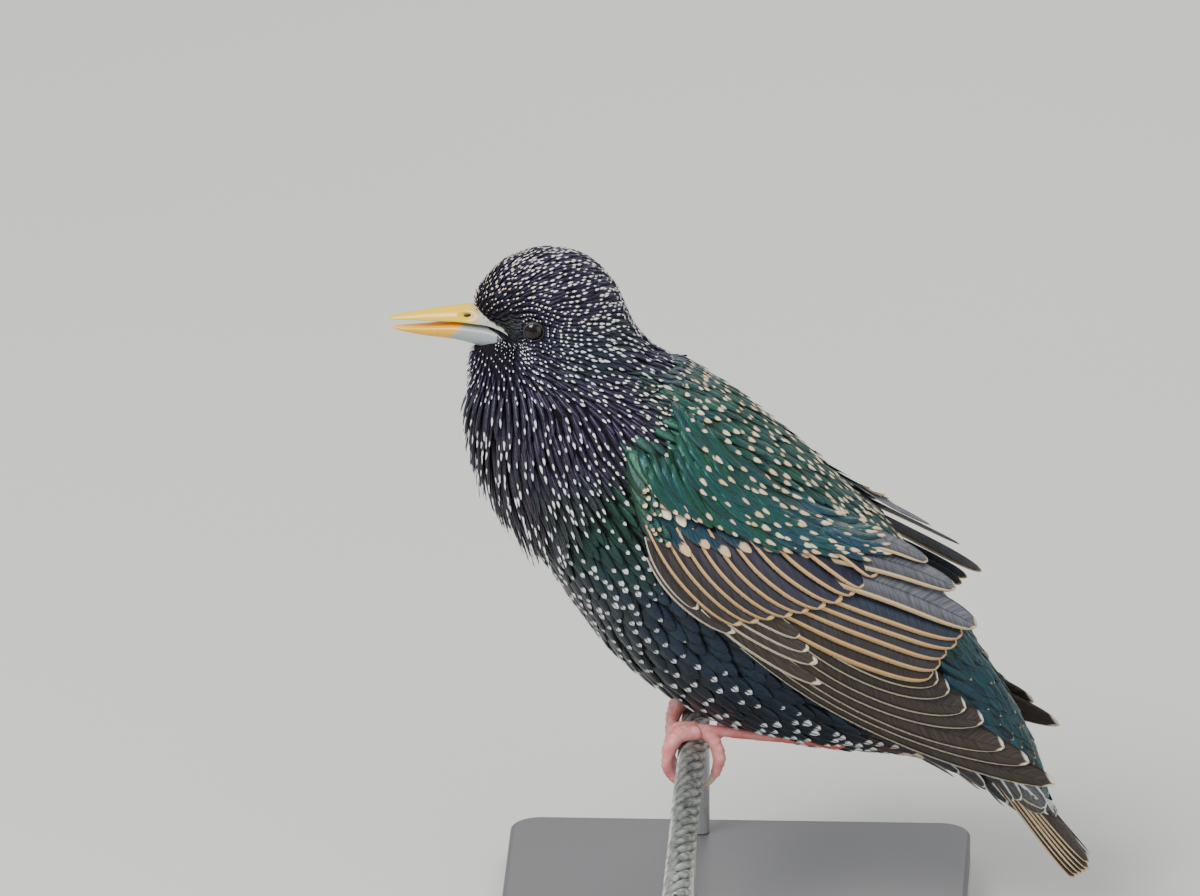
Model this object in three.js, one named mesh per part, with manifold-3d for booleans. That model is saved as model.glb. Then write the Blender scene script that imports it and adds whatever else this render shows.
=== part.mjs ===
// A life-size common starling on a cut length of steel wire rope, held by a plain stand.
// Millimetres, +Z up. The bird faces -X, its left side is -Y, and the rope runs along Y.
// The origin is the middle of the base's underside.

import * as THREE from 'three';
import { mergeVertices } from 'three/addons/utils/BufferGeometryUtils.js';
import Module from 'manifold-3d';

const wasm = await Module();
wasm.setup();

// Driving dimensions
const GAP = 0.3;
const PERCH_HEIGHT = 50;
const PERCH_X = -10;
const ROPE_RADIUS = 3.6;
const ROPE_STRANDS = 6;
const ROPE_LAY = 38;
const ROPE_FRONT = -120;
const ROPE_BACK = 52;
const BASE_LENGTH = 116;
const BASE_WIDTH = 104;
const BASE_HEIGHT = 8;
const BASE_CORNER = 8;
const ROD_RADIUS = 2.4;
const ROD_Y = 42;
const VANE_THICKNESS = 0.55;
const FOOT_Y = 12;
const HEEL = new THREE.Vector3(36.5, 0, 3.2);
const EYE_RADIUS = 3.3;
const EYE = new THREE.Vector3(-39.6, 12, 110.4);

// Body sections from the throat to the rump: place on the midline, half depth, half width
const BODY_SECTIONS = [
  { x: -38, z: 106, deep: 17.5, wide: 11.5 },
  { x: -35.5, z: 98.5, deep: 23.2, wide: 15.6 },
  { x: -32.5, z: 91, deep: 26.6, wide: 19.6 },
  { x: -26.5, z: 81.5, deep: 29.8, wide: 23.6 },
  { x: -10.5, z: 65.6, deep: 33, wide: 28.6 },
  { x: 6.5, z: 46.6, deep: 36, wide: 31 },
  { x: 28, z: 31.2, deep: 33, wide: 28.6 },
  { x: 48, z: 19, deep: 24.5, wide: 22 },
  { x: 63, z: 9, deep: 16, wide: 14.5 },
  { x: 74, z: -1, deep: 10.5, wide: 10 },
  { x: 82, z: -11, deep: 6.2, wide: 7.6 },
  { x: 88, z: -19.5, deep: 2.6, wide: 5 },
];
// The folded wings lie on this wider form, which runs on past the rump to their tips
const WING_SECTIONS = [
  { x: -26.5, z: 81.5, deep: 29.8, wide: 23.6 },
  { x: -10.5, z: 65.6, deep: 33, wide: 28.6 },
  { x: 6.5, z: 46.6, deep: 36, wide: 31 },
  { x: 28, z: 31.2, deep: 35, wide: 28.8 },
  { x: 50, z: 18, deep: 37, wide: 24.4 },
  { x: 70, z: 7, deep: 40, wide: 21 },
  { x: 95, z: -7, deep: 40, wide: 18.6 },
];

const finishes = {
  plumage: new THREE.MeshStandardMaterial({ color: 0x1c2436, roughness: 0.5, metalness: 0.1 }),
  wing: new THREE.MeshStandardMaterial({ color: 0x4b4442, roughness: 0.6, metalness: 0 }),
  bill: new THREE.MeshStandardMaterial({ color: 0xe9c54f, roughness: 0.4, metalness: 0 }),
  eye: new THREE.MeshStandardMaterial({ color: 0x120d0b, roughness: 0.05, metalness: 0 }),
  skin: new THREE.MeshStandardMaterial({ color: 0xd0604e, roughness: 0.5, metalness: 0 }),
  claw: new THREE.MeshStandardMaterial({ color: 0xb9a48e, roughness: 0.4, metalness: 0 }),
  steel: new THREE.MeshStandardMaterial({ color: 0x96998f, roughness: 0.4, metalness: 1 }),
  base: new THREE.MeshStandardMaterial({ color: 0x3a3a3c, roughness: 0.7, metalness: 0 }),
};

// Turns a closed geometry into a solid, with its faces pointing out
function solidOf(geometry) {
  const bare = geometry.clone();
  bare.deleteAttribute('normal');
  bare.deleteAttribute('uv');
  const merged = mergeVertices(bare, 1e-4);
  const vertProperties = new Float32Array(merged.attributes.position.array);
  const triVerts = new Uint32Array(merged.index.array);
  if (signedVolume(vertProperties, triVerts) < 0) {
    for (let i = 0; i < triVerts.length; i += 3) {
      [triVerts[i], triVerts[i + 1]] = [triVerts[i + 1], triVerts[i]];
    }
  }
  return new wasm.Manifold(new wasm.Mesh({ numProp: 3, vertProperties, triVerts }));
}

function signedVolume(xyz, triangles) {
  const corner = [new THREE.Vector3(), new THREE.Vector3(), new THREE.Vector3()];
  let volume = 0;
  for (let i = 0; i < triangles.length; i += 3) {
    corner.forEach((v, k) => v.fromArray(xyz, 3 * triangles[i + k]));
    volume += corner[0].dot(corner[1].clone().cross(corner[2]));
  }
  return volume;
}

function joined(solids) {
  return solids.reduce((sum, solid) => sum.add(solid));
}

// Keeps the largest closed surface, which drops loose scraps and fills sealed hollows
function largest(solid) {
  const pieces = solid.decompose();
  return pieces.reduce((best, piece) => (piece.volume() > best.volume() ? piece : best));
}

function meshOf(name, solid, material) {
  const surface = largest(solid).getMesh();
  const geometry = new THREE.BufferGeometry();
  const xyz = new Float32Array(surface.numVert * 3);
  for (let i = 0; i < surface.numVert; i += 1) {
    for (let k = 0; k < 3; k += 1) {
      xyz[3 * i + k] = surface.vertProperties[surface.numProp * i + k];
    }
  }
  geometry.setAttribute('position', new THREE.BufferAttribute(xyz, 3));
  geometry.setIndex(Array.from(surface.triVerts));
  geometry.computeVertexNormals();
  const mesh = new THREE.Mesh(geometry, material);
  mesh.name = name;
  return mesh;
}

// Skins a list of rings of equal length and closes both ends with a fan
function loft(rings) {
  const sides = rings[0].length;
  const points = rings.flat();
  const index = [];
  for (let r = 0; r + 1 < rings.length; r += 1) {
    for (let s = 0; s < sides; s += 1) {
      const a = r * sides + s;
      const b = r * sides + ((s + 1) % sides);
      index.push(a, b, b + sides, a, b + sides, a + sides);
    }
  }
  const ends = [rings[0], rings[rings.length - 1]];
  ends.forEach((ring, e) => {
    const hub = points.length;
    const start = e * (rings.length - 1) * sides;
    points.push(ring.reduce((sum, p) => sum.add(p), new THREE.Vector3()).divideScalar(sides));
    for (let s = 0; s < sides; s += 1) {
      const a = start + s;
      const b = start + ((s + 1) % sides);
      index.push(...(e === 0 ? [hub, b, a] : [hub, a, b]));
    }
  });
  const geometry = new THREE.BufferGeometry().setFromPoints(points);
  geometry.setIndex(index);
  return solidOf(geometry);
}

// A smooth tube form given by sections on the midline plane
class Form {
  constructor(sections) {
    const centres = sections.map((s) => new THREE.Vector3(s.x, 0, s.z));
    const radii = sections.map((s) => new THREE.Vector3(s.deep, s.wide, 0));
    this.spine = new THREE.CatmullRomCurve3(centres, false, 'centripetal');
    this.radii = new THREE.CatmullRomCurve3(radii, false, 'catmullrom');
  }

  frame(t) {
    const along = this.spine.getTangent(t);
    const radii = this.radii.getPoint(t);
    return {
      centre: this.spine.getPoint(t),
      along,
      back: new THREE.Vector3(-along.z, 0, along.x),
      deep: radii.x,
      wide: radii.y,
    };
  }

  // Point at the angle around from the back, lifted off the surface
  point(t, angle, lift) {
    const f = this.frame(t);
    return f.centre
      .addScaledVector(f.back, (f.deep + lift) * Math.cos(angle))
      .add(new THREE.Vector3(0, (f.wide + lift) * Math.sin(angle), 0));
  }

  rings(count, sides, lift, from = 0, to = 1) {
    return Array.from({ length: count }, (_, r) =>
      Array.from({ length: sides }, (_, s) =>
        this.point(from + ((to - from) * r) / (count - 1), (2 * Math.PI * s) / sides, lift)));
  }

  // Half width of the form where a line along Y passes through x, z
  halfWidth(x, z) {
    const steps = 120;
    let best = { distance: Infinity };
    for (let i = 0; i <= steps; i += 1) {
      const f = this.frame(i / steps);
      const offset = new THREE.Vector3(x, 0, z).sub(f.centre);
      const distance = Math.abs(offset.dot(f.along));
      if (distance < best.distance && offset.length() < f.deep * 1.3) {
        best = { distance, depth: offset.dot(f.back), ...f };
      }
    }
    const share = Math.min(Math.abs(best.depth) / best.deep, 0.96);
    return best.wide * Math.sqrt(1 - share * share);
  }
}

const body = new Form(BODY_SECTIONS);
const wingForm = new Form(WING_SECTIONS);

// A tube of changing radius along a smooth path; flat squeezes it along Z
function limb(points, radii, sides = 8, steps = 8, flat = 1) {
  const path = new THREE.CatmullRomCurve3(points, false, 'centripetal');
  const size = new THREE.CatmullRomCurve3(radii.map((r) => new THREE.Vector3(r, 0, 0)));
  const frames = path.computeFrenetFrames(steps, false);
  const rings = frames.normals.map((normal, i) => {
    const t = i / steps;
    const centre = path.getPoint(path.getUtoTmapping(t));
    const radius = size.getPoint(path.getUtoTmapping(t)).x;
    return Array.from({ length: sides }, (_, s) => {
      const angle = (2 * Math.PI * s) / sides;
      const reach = normal.clone().multiplyScalar(Math.cos(angle))
        .addScaledVector(frames.binormals[i], Math.sin(angle)).multiplyScalar(radius);
      reach.z *= flat;
      return centre.clone().add(reach);
    });
  });
  return loft(rings);
}

// A flight feather or hackle: a thin closed vane, alike on both faces.
// spots are its places from root to tip with the sideways and outward directions.
function vane(spots, width, thickness, tipShare) {
  const rings = spots.map(({ at, side, out }, i) => {
    const t = i / (spots.length - 1);
    const broad = t < 1 - tipShare ? 1 : Math.sqrt(Math.max(0, 1 - ((t - 1 + tipShare) / tipShare) ** 2));
    const half = 0.5 * width * Math.max(0.12, broad * (0.72 + 0.28 * Math.min(1, 2.5 * t)));
    const thick = thickness * (t < 1 ? 1 : 0.6);
    const edge = (way, level) => at.clone().addScaledVector(side, way * half).addScaledVector(out, level * thick);
    return [edge(1, 0.5), edge(1, -0.5), edge(-1, -0.5), edge(-1, 0.5)];
  });
  return loft(rings);
}

function halfSpace(point, normal) {
  const size = 400;
  const block = new THREE.BoxGeometry(size, size, size);
  block.translate(0, 0, size / 2);
  const turn = new THREE.Quaternion().setFromUnitVectors(new THREE.Vector3(0, 0, 1), normal);
  block.applyQuaternion(turn);
  block.translate(point.x, point.y, point.z);
  return solidOf(block);
}

// Keeps what lies ahead of or behind a plane, half a gap away from it
function ahead(solid, cut) {
  return solid.intersect(halfSpace(cut.point.clone().addScaledVector(cut.normal, GAP / 2), cut.normal));
}

function behind(solid, cut) {
  return solid.subtract(halfSpace(cut.point.clone().addScaledVector(cut.normal, -GAP / 2), cut.normal));
}

const headCut = { point: new THREE.Vector3(-34, 0, 99), normal: new THREE.Vector3(-0.16, 0, 0.99).normalize() };
const neckCut = { point: new THREE.Vector3(-24, 0, 78.5), normal: new THREE.Vector3(-0.58, 0, 0.81).normalize() };
const tailCut = { point: new THREE.Vector3(66, 0, 6.5), normal: new THREE.Vector3(-0.75, 0, 0.66).normalize() };

function ellipsoid(centre, radii, wide = 16, high = 10) {
  const ball = new THREE.SphereGeometry(1, wide, high);
  ball.rotateX(Math.PI / 2);
  ball.scale(radii.x, radii.y, radii.z);
  ball.translate(centre.x, centre.y, centre.z);
  return solidOf(ball);
}

// The head, neck and trunk as one closed form, grown outwards where a clearance is cut
function wholeBody(grow, rings = 24, sides = 24) {
  const trunk = loft(body.rings(rings, sides, grow));
  const skull = ellipsoid(new THREE.Vector3(-36.6, 0, 107.8),
    new THREE.Vector3(20.8 + grow, 13.6 + grow, 21 + grow), 22, 14);
  return trunk.add(skull);
}

// The bill, as rings across its length; each ring gives its middle, half height and half width
function mandible(stations) {
  const sides = 10;
  const rings = stations.map(({ x, z, high, wide, flatTop, flatBottom }) =>
    Array.from({ length: sides }, (_, s) => {
      const angle = (2 * Math.PI * s) / sides;
      let rise = high * Math.sin(angle);
      if (flatTop && rise > 0) {
        rise *= 0.25;
      }
      if (flatBottom && rise < 0) {
        rise *= 0.25;
      }
      return new THREE.Vector3(x, wide * Math.cos(angle), z + rise);
    }));
  return loft(rings);
}

function upperBill(grow) {
  return mandible([
    { x: -46 + grow, z: 109.2, high: 4.2 + grow, wide: 5.8 + grow, flatBottom: true },
    { x: -51, z: 109.6, high: 3.8 + grow, wide: 5 + grow, flatBottom: true },
    { x: -57, z: 110, high: 3.2 + grow, wide: 3.9 + grow, flatBottom: true },
    { x: -63, z: 110, high: 2.5 + grow, wide: 2.9 + grow, flatBottom: true },
    { x: -69, z: 109.9, high: 1.6 + grow, wide: 2 + grow, flatBottom: true },
    { x: -73.5, z: 109.7, high: 0.9 + grow, wide: 1.2 + grow, flatBottom: true },
    { x: -76, z: 109.5, high: 0.45 + grow, wide: 0.6 + grow, flatBottom: true },
  ]);
}

function lowerBill(grow) {
  return mandible([
    { x: -46 + grow, z: 107, high: 4.6 + grow, wide: 5.6 + grow, flatTop: true },
    { x: -51, z: 107.7, high: 5 + grow, wide: 4.8 + grow, flatTop: true },
    { x: -57, z: 107.9, high: 3.9 + grow, wide: 3.7 + grow, flatTop: true },
    { x: -63, z: 107.7, high: 2.8 + grow, wide: 2.7 + grow, flatTop: true },
    { x: -69, z: 107.4, high: 1.7 + grow, wide: 1.8 + grow, flatTop: true },
    { x: -73, z: 107.2, high: 0.9 + grow, wide: 1 + grow, flatTop: true },
    { x: -75, z: 107.1, high: 0.4 + grow, wide: 0.5 + grow, flatTop: true },
  ]);
}

function eyeAt(way, grow) {
  return ellipsoid(new THREE.Vector3(EYE.x, way * (EYE.y - 2.6), EYE.z),
    new THREE.Vector3(EYE_RADIUS + grow, 3.2 + grow, EYE_RADIUS + grow), 14, 8);
}

// The ring of the lids round each eye
function lids(way) {
  const ring = new THREE.TorusGeometry(2.6, 0.7, 6, 14);
  ring.rotateX(Math.PI / 2);
  ring.translate(EYE.x, way * (EYE.y + 0.1), EYE.z);
  return solidOf(ring);
}

function nostril(way) {
  return ellipsoid(new THREE.Vector3(-56.6, way * 3.4, 111.3), new THREE.Vector3(1.5, 0.8, 0.6), 8, 6);
}

const whole = wholeBody(0);
const clearance = wholeBody(GAP + 0.05);

function head() {
  // The cheeks draw in round the sides of the bill
  const corner = [-1, 1].map((way) => ellipsoid(new THREE.Vector3(-58, way * 9.6, 108.5),
    new THREE.Vector3(9, 5.2, 7), 12, 8));
  // and a shallow hollow carries each eye
  const orbit = [-1, 1].map((way) => ellipsoid(new THREE.Vector3(EYE.x - 1, way * (EYE.y + 6), EYE.z),
    new THREE.Vector3(9, 6, 7.5), 12, 8));
  let solid = ahead(whole, headCut).subtract(joined([...corner, ...orbit]));
  solid = solid.add(lids(-1)).add(lids(1));
  return [upperBill(GAP), lowerBill(GAP), eyeAt(-1, GAP), eyeAt(1, GAP)].reduce((s, cut) => s.subtract(cut), solid);
}

const HACKLE_ROWS = 4;
const HACKLES_A_ROW = 9;

// Long lance-shaped hackles on the throat, rooted in the neck and free at their tips
function hackles() {
  const list = [];
  for (let row = 0; row < HACKLE_ROWS; row += 1) {
    const t = 0.08 + 0.05 * row;
    const count = HACKLES_A_ROW + (row % 2);
    for (let i = 0; i < count; i += 1) {
      const swing = (i - (count - 1) / 2) / ((count - 1) / 2);
      const angle = Math.PI + 1.25 * swing;
      const root = body.point(t, angle, -2.5);
      const bend = body.point(t + 0.045, angle - 0.04 * swing, 0.9);
      const tip = body.point(t + 0.105, angle - 0.08 * swing, 3.4 - 0.8 * Math.abs(swing));
      const path = new THREE.QuadraticBezierCurve3(root, bend, tip);
      const out = body.point(t + 0.05, angle, 1).sub(body.point(t + 0.05, angle, 0)).normalize();
      const spots = [0, 0.4, 0.75, 1].map((s) => {
        const along = path.getTangent(s);
        const side = along.clone().cross(out).normalize();
        return { at: path.getPoint(s), side, out: side.clone().cross(along).normalize() };
      });
      list.push(vane(spots, 4.2, 0.7, 0.6));
    }
  }
  return joined(list);
}

function neck() {
  const ownBlock = ahead(behind(whole, headCut), neckCut);
  const trunkSpace = behind(clearance, { point: neckCut.point.clone().addScaledVector(neckCut.normal, GAP),
    normal: neckCut.normal });
  const headSpace = ahead(clearance, { point: headCut.point.clone().addScaledVector(headCut.normal, -GAP),
    normal: headCut.normal });
  const fringe = hackles().subtract(trunkSpace).subtract(headSpace).subtract(lowerBill(GAP));
  return ownBlock.add(fringe);
}

function ropeSpace(grow) {
  const rod = new THREE.CylinderGeometry(ROPE_RADIUS + grow, ROPE_RADIUS + grow, 260, 20);
  return solidOf(rod);
}

// The belly feathers part round the rope, the lower legs and the feet
function torso() {
  const legs = [-1, 1].flatMap((way) => [tarsus(way, GAP + 0.05), footForm(way, GAP + 0.05)]);
  return ahead(behind(whole, neckCut), tailCut).subtract(joined([ropeSpace(1), ...legs]));
}

// Places along a wing feather from root to tip, on the wing's own form
function wingSpots(way, root, control, tip, lift, slope, count) {
  const path = new THREE.QuadraticBezierCurve3(root, control, tip);
  return Array.from({ length: count }, (_, i) => {
    const s = i / (count - 1);
    const at = path.getPoint(s);
    const along = path.getTangent(s);
    const rise = lift[0] + (lift[1] - lift[0]) * s;
    const upper = new THREE.Vector3(-along.z, 0, along.x);
    at.y = way * (wingForm.halfWidth(at.x, at.z) + rise);
    const side = upper.clone().add(new THREE.Vector3(0, -way * slope, 0)).normalize();
    const out = new THREE.Vector3(0, way, 0).addScaledVector(upper, slope).normalize();
    return { at, side, out };
  });
}

function flat(x, z) {
  return new THREE.Vector3(x, 0, z);
}

function mix(a, b, share) {
  return a.clone().lerp(b, share);
}

// Bend and tip of each flight feather, from the longest primary to the innermost secondary
const FLIGHT_FEATHERS = [
  { bend: flat(48, 8.5), tip: flat(91, -4.4) },
  { bend: flat(48, 12), tip: flat(84.4, 1.6) },
  { bend: flat(48, 15.5), tip: flat(78.2, 6.3) },
  { bend: flat(47, 19.5), tip: flat(72.9, 13.4) },
  { bend: flat(46.5, 23.5), tip: flat(68.6, 16.6) },
  { bend: flat(46.5, 28), tip: flat(64.4, 21.7) },
  { bend: flat(46, 35), tip: flat(62.3, 27.7) },
  { bend: flat(48, 39), tip: flat(65, 32.3) },
  { bend: flat(49, 42), tip: flat(67.4, 34.6) },
];
// and of the tertials, which lie on top
const TERTIALS = [
  { root: flat(22, 59), bend: flat(48, 49), tip: flat(71.5, 36.7) },
  { root: flat(24, 62), bend: flat(46, 55), tip: flat(66, 44.8) },
  { root: flat(26, 65), bend: flat(43, 60), tip: flat(58.5, 51.5) },
];

function flightFeathers(way) {
  const primaries = FLIGHT_FEATHERS.map(({ bend, tip }, i) => {
    const root = mix(flat(14, 37), flat(25, 53), i / (FLIGHT_FEATHERS.length - 1));
    return vane(wingSpots(way, root, bend, tip, [2, 2], 0.3, 5), 7.4, VANE_THICKNESS, 0.3);
  });
  const tertials = TERTIALS.map(({ root, bend, tip }, i) =>
    vane(wingSpots(way, root, bend, tip, [2.4, 2.9 + 0.3 * i], 0.3, 5), 9, VANE_THICKNESS, 0.3));
  return [...primaries, ...tertials];
}

// A tier of coverts, each rooted in the wing and laid over the next tier
function coverts(way, count, first, last, reach, width, lift) {
  return Array.from({ length: count }, (_, i) => {
    const share = i / (count - 1);
    const tip = mix(first, last, share);
    const root = tip.clone().sub(mix(reach[0], reach[1], share));
    const control = mix(root, tip, 0.5);
    return vane(wingSpots(way, root, control, tip, lift, 0.12, 4), width, VANE_THICKNESS, 0.5);
  });
}

function wingPad(way) {
  const outline = [
    [-16.5, 79], [-15.5, 67], [-7, 56.5], [6, 44.5], [20, 32.5], [33, 23], [45, 16], [50, 24],
    [50, 38], [45, 50], [34, 59], [20, 67], [5, 77], [-7, 85],
  ].map(([x, z]) => new THREE.Vector2(x, z));
  const rim = new THREE.SplineCurve([...outline, outline[0]]).getPoints(36).slice(0, -1);
  const block = new THREE.ExtrudeGeometry(new THREE.Shape(rim), { depth: 60, bevelEnabled: false });
  block.rotateX(Math.PI / 2);
  block.translate(0, way > 0 ? 62 : -2, 0);
  return wholeBody(3.3).intersect(solidOf(block)).subtract(clearance);
}

function wing(way) {
  const feathers = [
    ...flightFeathers(way),
    ...coverts(way, 6, flat(13, 43.5), flat(45, 50), [flat(18, -16), flat(17, -10)], 8, [2.4, 4.1]),
    ...coverts(way, 5, flat(0, 62), flat(38, 57.5), [flat(9, -10), flat(12, -8)], 8.4, [2.6, 4.3]),
    ...coverts(way, 3, flat(33, 26.5), flat(28, 38), [flat(21, -14), flat(16, -8)], 5.5, [2.2, 3.4]),
    ...coverts(way, 2, flat(11, 40.5), flat(6, 46), [flat(22, -20), flat(15, -14)], 5, [2.2, 3.2]),
  ];
  return wingPad(way).add(joined(feathers)).subtract(clearance);
}

const RECTRICES_A_SIDE = 6;

// The tail: its cone of coverts and twelve feathers stacked like a low roof
function tail() {
  const root = new THREE.Vector3(68, 0, 5);
  const tip = new THREE.Vector3(98, 0, -34);
  const along = tip.clone().sub(root).normalize();
  const up = new THREE.Vector3(-along.z, 0, along.x);
  const list = [behind(whole, tailCut)];
  for (let i = 0; i < RECTRICES_A_SIDE; i += 1) {
    for (const way of [-1, 1]) {
      const sideways = 3.35 + 0.95 * i;
      const drop = -0.85 * i;
      const length = tip.distanceTo(root) - (i === 0 ? 1.2 : 0.3 * i);
      const spots = [0, 0.3, 0.55, 0.75, 0.9, 1].map((s) => {
        const spread = 0.45 + 0.55 * s;
        const at = root.clone().addScaledVector(along, length * s).addScaledVector(up, drop * spread + 1.6);
        at.y = way * sideways * spread;
        const side = new THREE.Vector3(0, way, 0).addScaledVector(up, -0.3).normalize();
        const out = up.clone().add(new THREE.Vector3(0, way * 0.3, 0)).normalize();
        return { at, side, out };
      });
      list.push(vane(spots, 6.3, VANE_THICKNESS, 0.22));
    }
  }
  return joined(list);
}

function thigh(way) {
  const path = [
    new THREE.Vector3(22, way * 16, 14),
    new THREE.Vector3(29, way * 15, 8),
    new THREE.Vector3(HEEL.x, way * (FOOT_Y + 0.5), HEEL.z + 1),
  ];
  return limb(path, [9, 7, 2.6], 12, 6).subtract(clearance).subtract(tarsus(way, GAP));
}

function tarsus(way, grow = 0) {
  const path = [
    new THREE.Vector3(HEEL.x + grow, way * FOOT_Y, HEEL.z),
    new THREE.Vector3(27, way * FOOT_Y, 3.8),
    new THREE.Vector3(12, way * FOOT_Y, 5.1),
    new THREE.Vector3(4, way * FOOT_Y, 5.9),
  ];
  return limb(path, [2.2, 1.5, 1.35, 1.7].map((r) => r + grow), 8, 7);
}

const TOE_SPLAY = [-4.6, 0, 4.6];

function toePath(way, splay) {
  const reach = splay === 0 ? 1 : 0.86;
  return [
    new THREE.Vector3(1.5, way * FOOT_Y + 0.2 * splay, 5.7),
    new THREE.Vector3(-3.4, way * FOOT_Y + 0.7 * splay, 4.9),
    new THREE.Vector3(-5.9, way * FOOT_Y + splay, 0.4),
    new THREE.Vector3(-5.6, way * FOOT_Y + splay, -4.2 * reach),
    new THREE.Vector3(-3.6, way * FOOT_Y + splay, -7.4 * reach),
  ];
}

function halluxPath(way) {
  return [
    new THREE.Vector3(1.5, way * FOOT_Y, 5.7),
    new THREE.Vector3(5.3, way * (FOOT_Y + 1), 3.8),
    new THREE.Vector3(6.8, way * (FOOT_Y + 2), -0.6),
    new THREE.Vector3(6.4, way * (FOOT_Y + 2), -3.8),
    new THREE.Vector3(5.4, way * (FOOT_Y + 2), -5.8),
  ];
}

function toe(points, grow) {
  return limb(points, [1.9, 1.75, 1.6, 1.4, 1.1].map((r) => r + grow), 6, 6);
}

function claw(points) {
  const end = points[points.length - 1];
  const before = points[points.length - 2];
  const along = end.clone().sub(before).normalize();
  const inward = new THREE.Vector3(-Math.sign(end.x), 0, 0);
  const start = end.clone().addScaledVector(along, GAP);
  const path = [
    start,
    start.clone().addScaledVector(along, 2.4).addScaledVector(inward, 0.5),
    start.clone().addScaledVector(along, 3.8).addScaledVector(inward, 2.4),
  ];
  return limb(path, [1.05, 0.75, 0.18], 5, 3);
}

function footForm(way, grow) {
  const toes = [...TOE_SPLAY.map((splay) => toe(toePath(way, splay), grow)), toe(halluxPath(way), grow)];
  const pad = ellipsoid(new THREE.Vector3(0.6, way * FOOT_Y, 5.9),
    new THREE.Vector3(3.2 + grow, 2.6 + grow, 1.9 + grow), 12, 8);
  return joined([pad, ...toes]);
}

function foot(way) {
  const ankle = new THREE.Vector3(1, 0, 0);
  const legSpace = halfSpace(new THREE.Vector3(4 - GAP, 0, 0), ankle)
    .intersect(halfSpace(new THREE.Vector3(0, 0, 4), new THREE.Vector3(0, 0, 1)));
  return footForm(way, 0).subtract(legSpace).subtract(ropeSpace(GAP));
}

// Six strands laid round the rope's core
function rope() {
  const steps = 40;
  const sides = ROPE_STRANDS * 2;
  const rings = Array.from({ length: steps + 1 }, (_, i) => {
    const y = ROPE_FRONT + ((ROPE_BACK - ROPE_FRONT) * i) / steps;
    const turn = (2 * Math.PI * y) / ROPE_LAY;
    return Array.from({ length: sides }, (_, s) => {
      const radius = ROPE_RADIUS * (s % 2 === 0 ? 0.82 : 1);
      const step = (2 * Math.PI * s) / sides;
      const angle = step + turn;
      return new THREE.Vector3(radius * Math.cos(angle), y, radius * Math.sin(angle));
    });
  });
  return loft(rings);
}

function standRod(y) {
  const length = PERCH_HEIGHT - BASE_HEIGHT - GAP;
  const rod = new THREE.CylinderGeometry(ROD_RADIUS, ROD_RADIUS, length, 16);
  rod.rotateX(Math.PI / 2);
  rod.translate(0, y, BASE_HEIGHT + GAP + length / 2 - PERCH_HEIGHT);
  return solidOf(rod).subtract(ropeSpace(GAP));
}

function standBase() {
  const corner = BASE_CORNER;
  const halfX = BASE_LENGTH / 2 - corner;
  const halfY = BASE_WIDTH / 2 - corner;
  const outline = new THREE.Shape();
  outline.absarc(halfX, halfY, corner, 0, Math.PI / 2);
  outline.absarc(-halfX, halfY, corner, Math.PI / 2, Math.PI);
  outline.absarc(-halfX, -halfY, corner, Math.PI, 1.5 * Math.PI);
  outline.absarc(halfX, -halfY, corner, 1.5 * Math.PI, 2 * Math.PI);
  const slab = new THREE.ExtrudeGeometry(outline, { depth: BASE_HEIGHT, bevelEnabled: false, curveSegments: 5 });
  return solidOf(slab);
}

// Everything round the perch is placed from the rope's axis
const bird = new THREE.Group();
bird.position.set(PERCH_X, 0, PERCH_HEIGHT);
bird.add(meshOf('head', head(), finishes.plumage));
bird.add(meshOf('bill_upper', [-1, 1].reduce((s, way) => s.subtract(nostril(way)), upperBill(0)), finishes.bill));
bird.add(meshOf('bill_lower', lowerBill(0).subtract(upperBill(GAP)), finishes.bill));
bird.add(meshOf('neck', neck(), finishes.plumage));
bird.add(meshOf('torso', torso(), finishes.plumage));
bird.add(meshOf('tail', tail(), finishes.wing));
for (const [side, way] of [['left', -1], ['right', 1]]) {
  bird.add(meshOf(`eye_${side}`, eyeAt(way, 0), finishes.eye));
  bird.add(meshOf(`wing_${side}`, wing(way), finishes.wing));
  bird.add(meshOf(`thigh_${side}`, thigh(way), finishes.plumage));
  bird.add(meshOf(`tarsus_${side}`, tarsus(way), finishes.skin));
  bird.add(meshOf(`foot_${side}`, foot(way), finishes.skin));
  TOE_SPLAY.forEach((splay, i) => {
    bird.add(meshOf(`claw_front_${i + 1}_${side}`, claw(toePath(way, splay)), finishes.claw));
  });
  bird.add(meshOf(`claw_rear_${side}`, claw(halluxPath(way)), finishes.claw));
}
bird.add(meshOf('perch_rope', rope(), finishes.steel));
bird.add(meshOf('stand_rod_front', standRod(-ROD_Y), finishes.steel));
bird.add(meshOf('stand_rod_back', standRod(ROD_Y), finishes.steel));

const part = new THREE.Group();
part.add(bird);
part.add(meshOf('stand_base', standBase(), finishes.base));

export default part;
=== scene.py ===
"""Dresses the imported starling: skin, plumage, bill, eyes, legs, rope perch, stand and a pale studio.

Lengths in the dataclasses are millimetres, measured from the rope's axis: X towards the tail, Y away from
the camera, Z up. They become metres in the frame's own place when a mesh is made.
"""

from __future__ import annotations

import logging
import math
from dataclasses import dataclass, field
from enum import Enum
from typing import Callable, Sequence

import bpy
import numpy as np
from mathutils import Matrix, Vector
from mathutils.bvhtree import BVHTree


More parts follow.
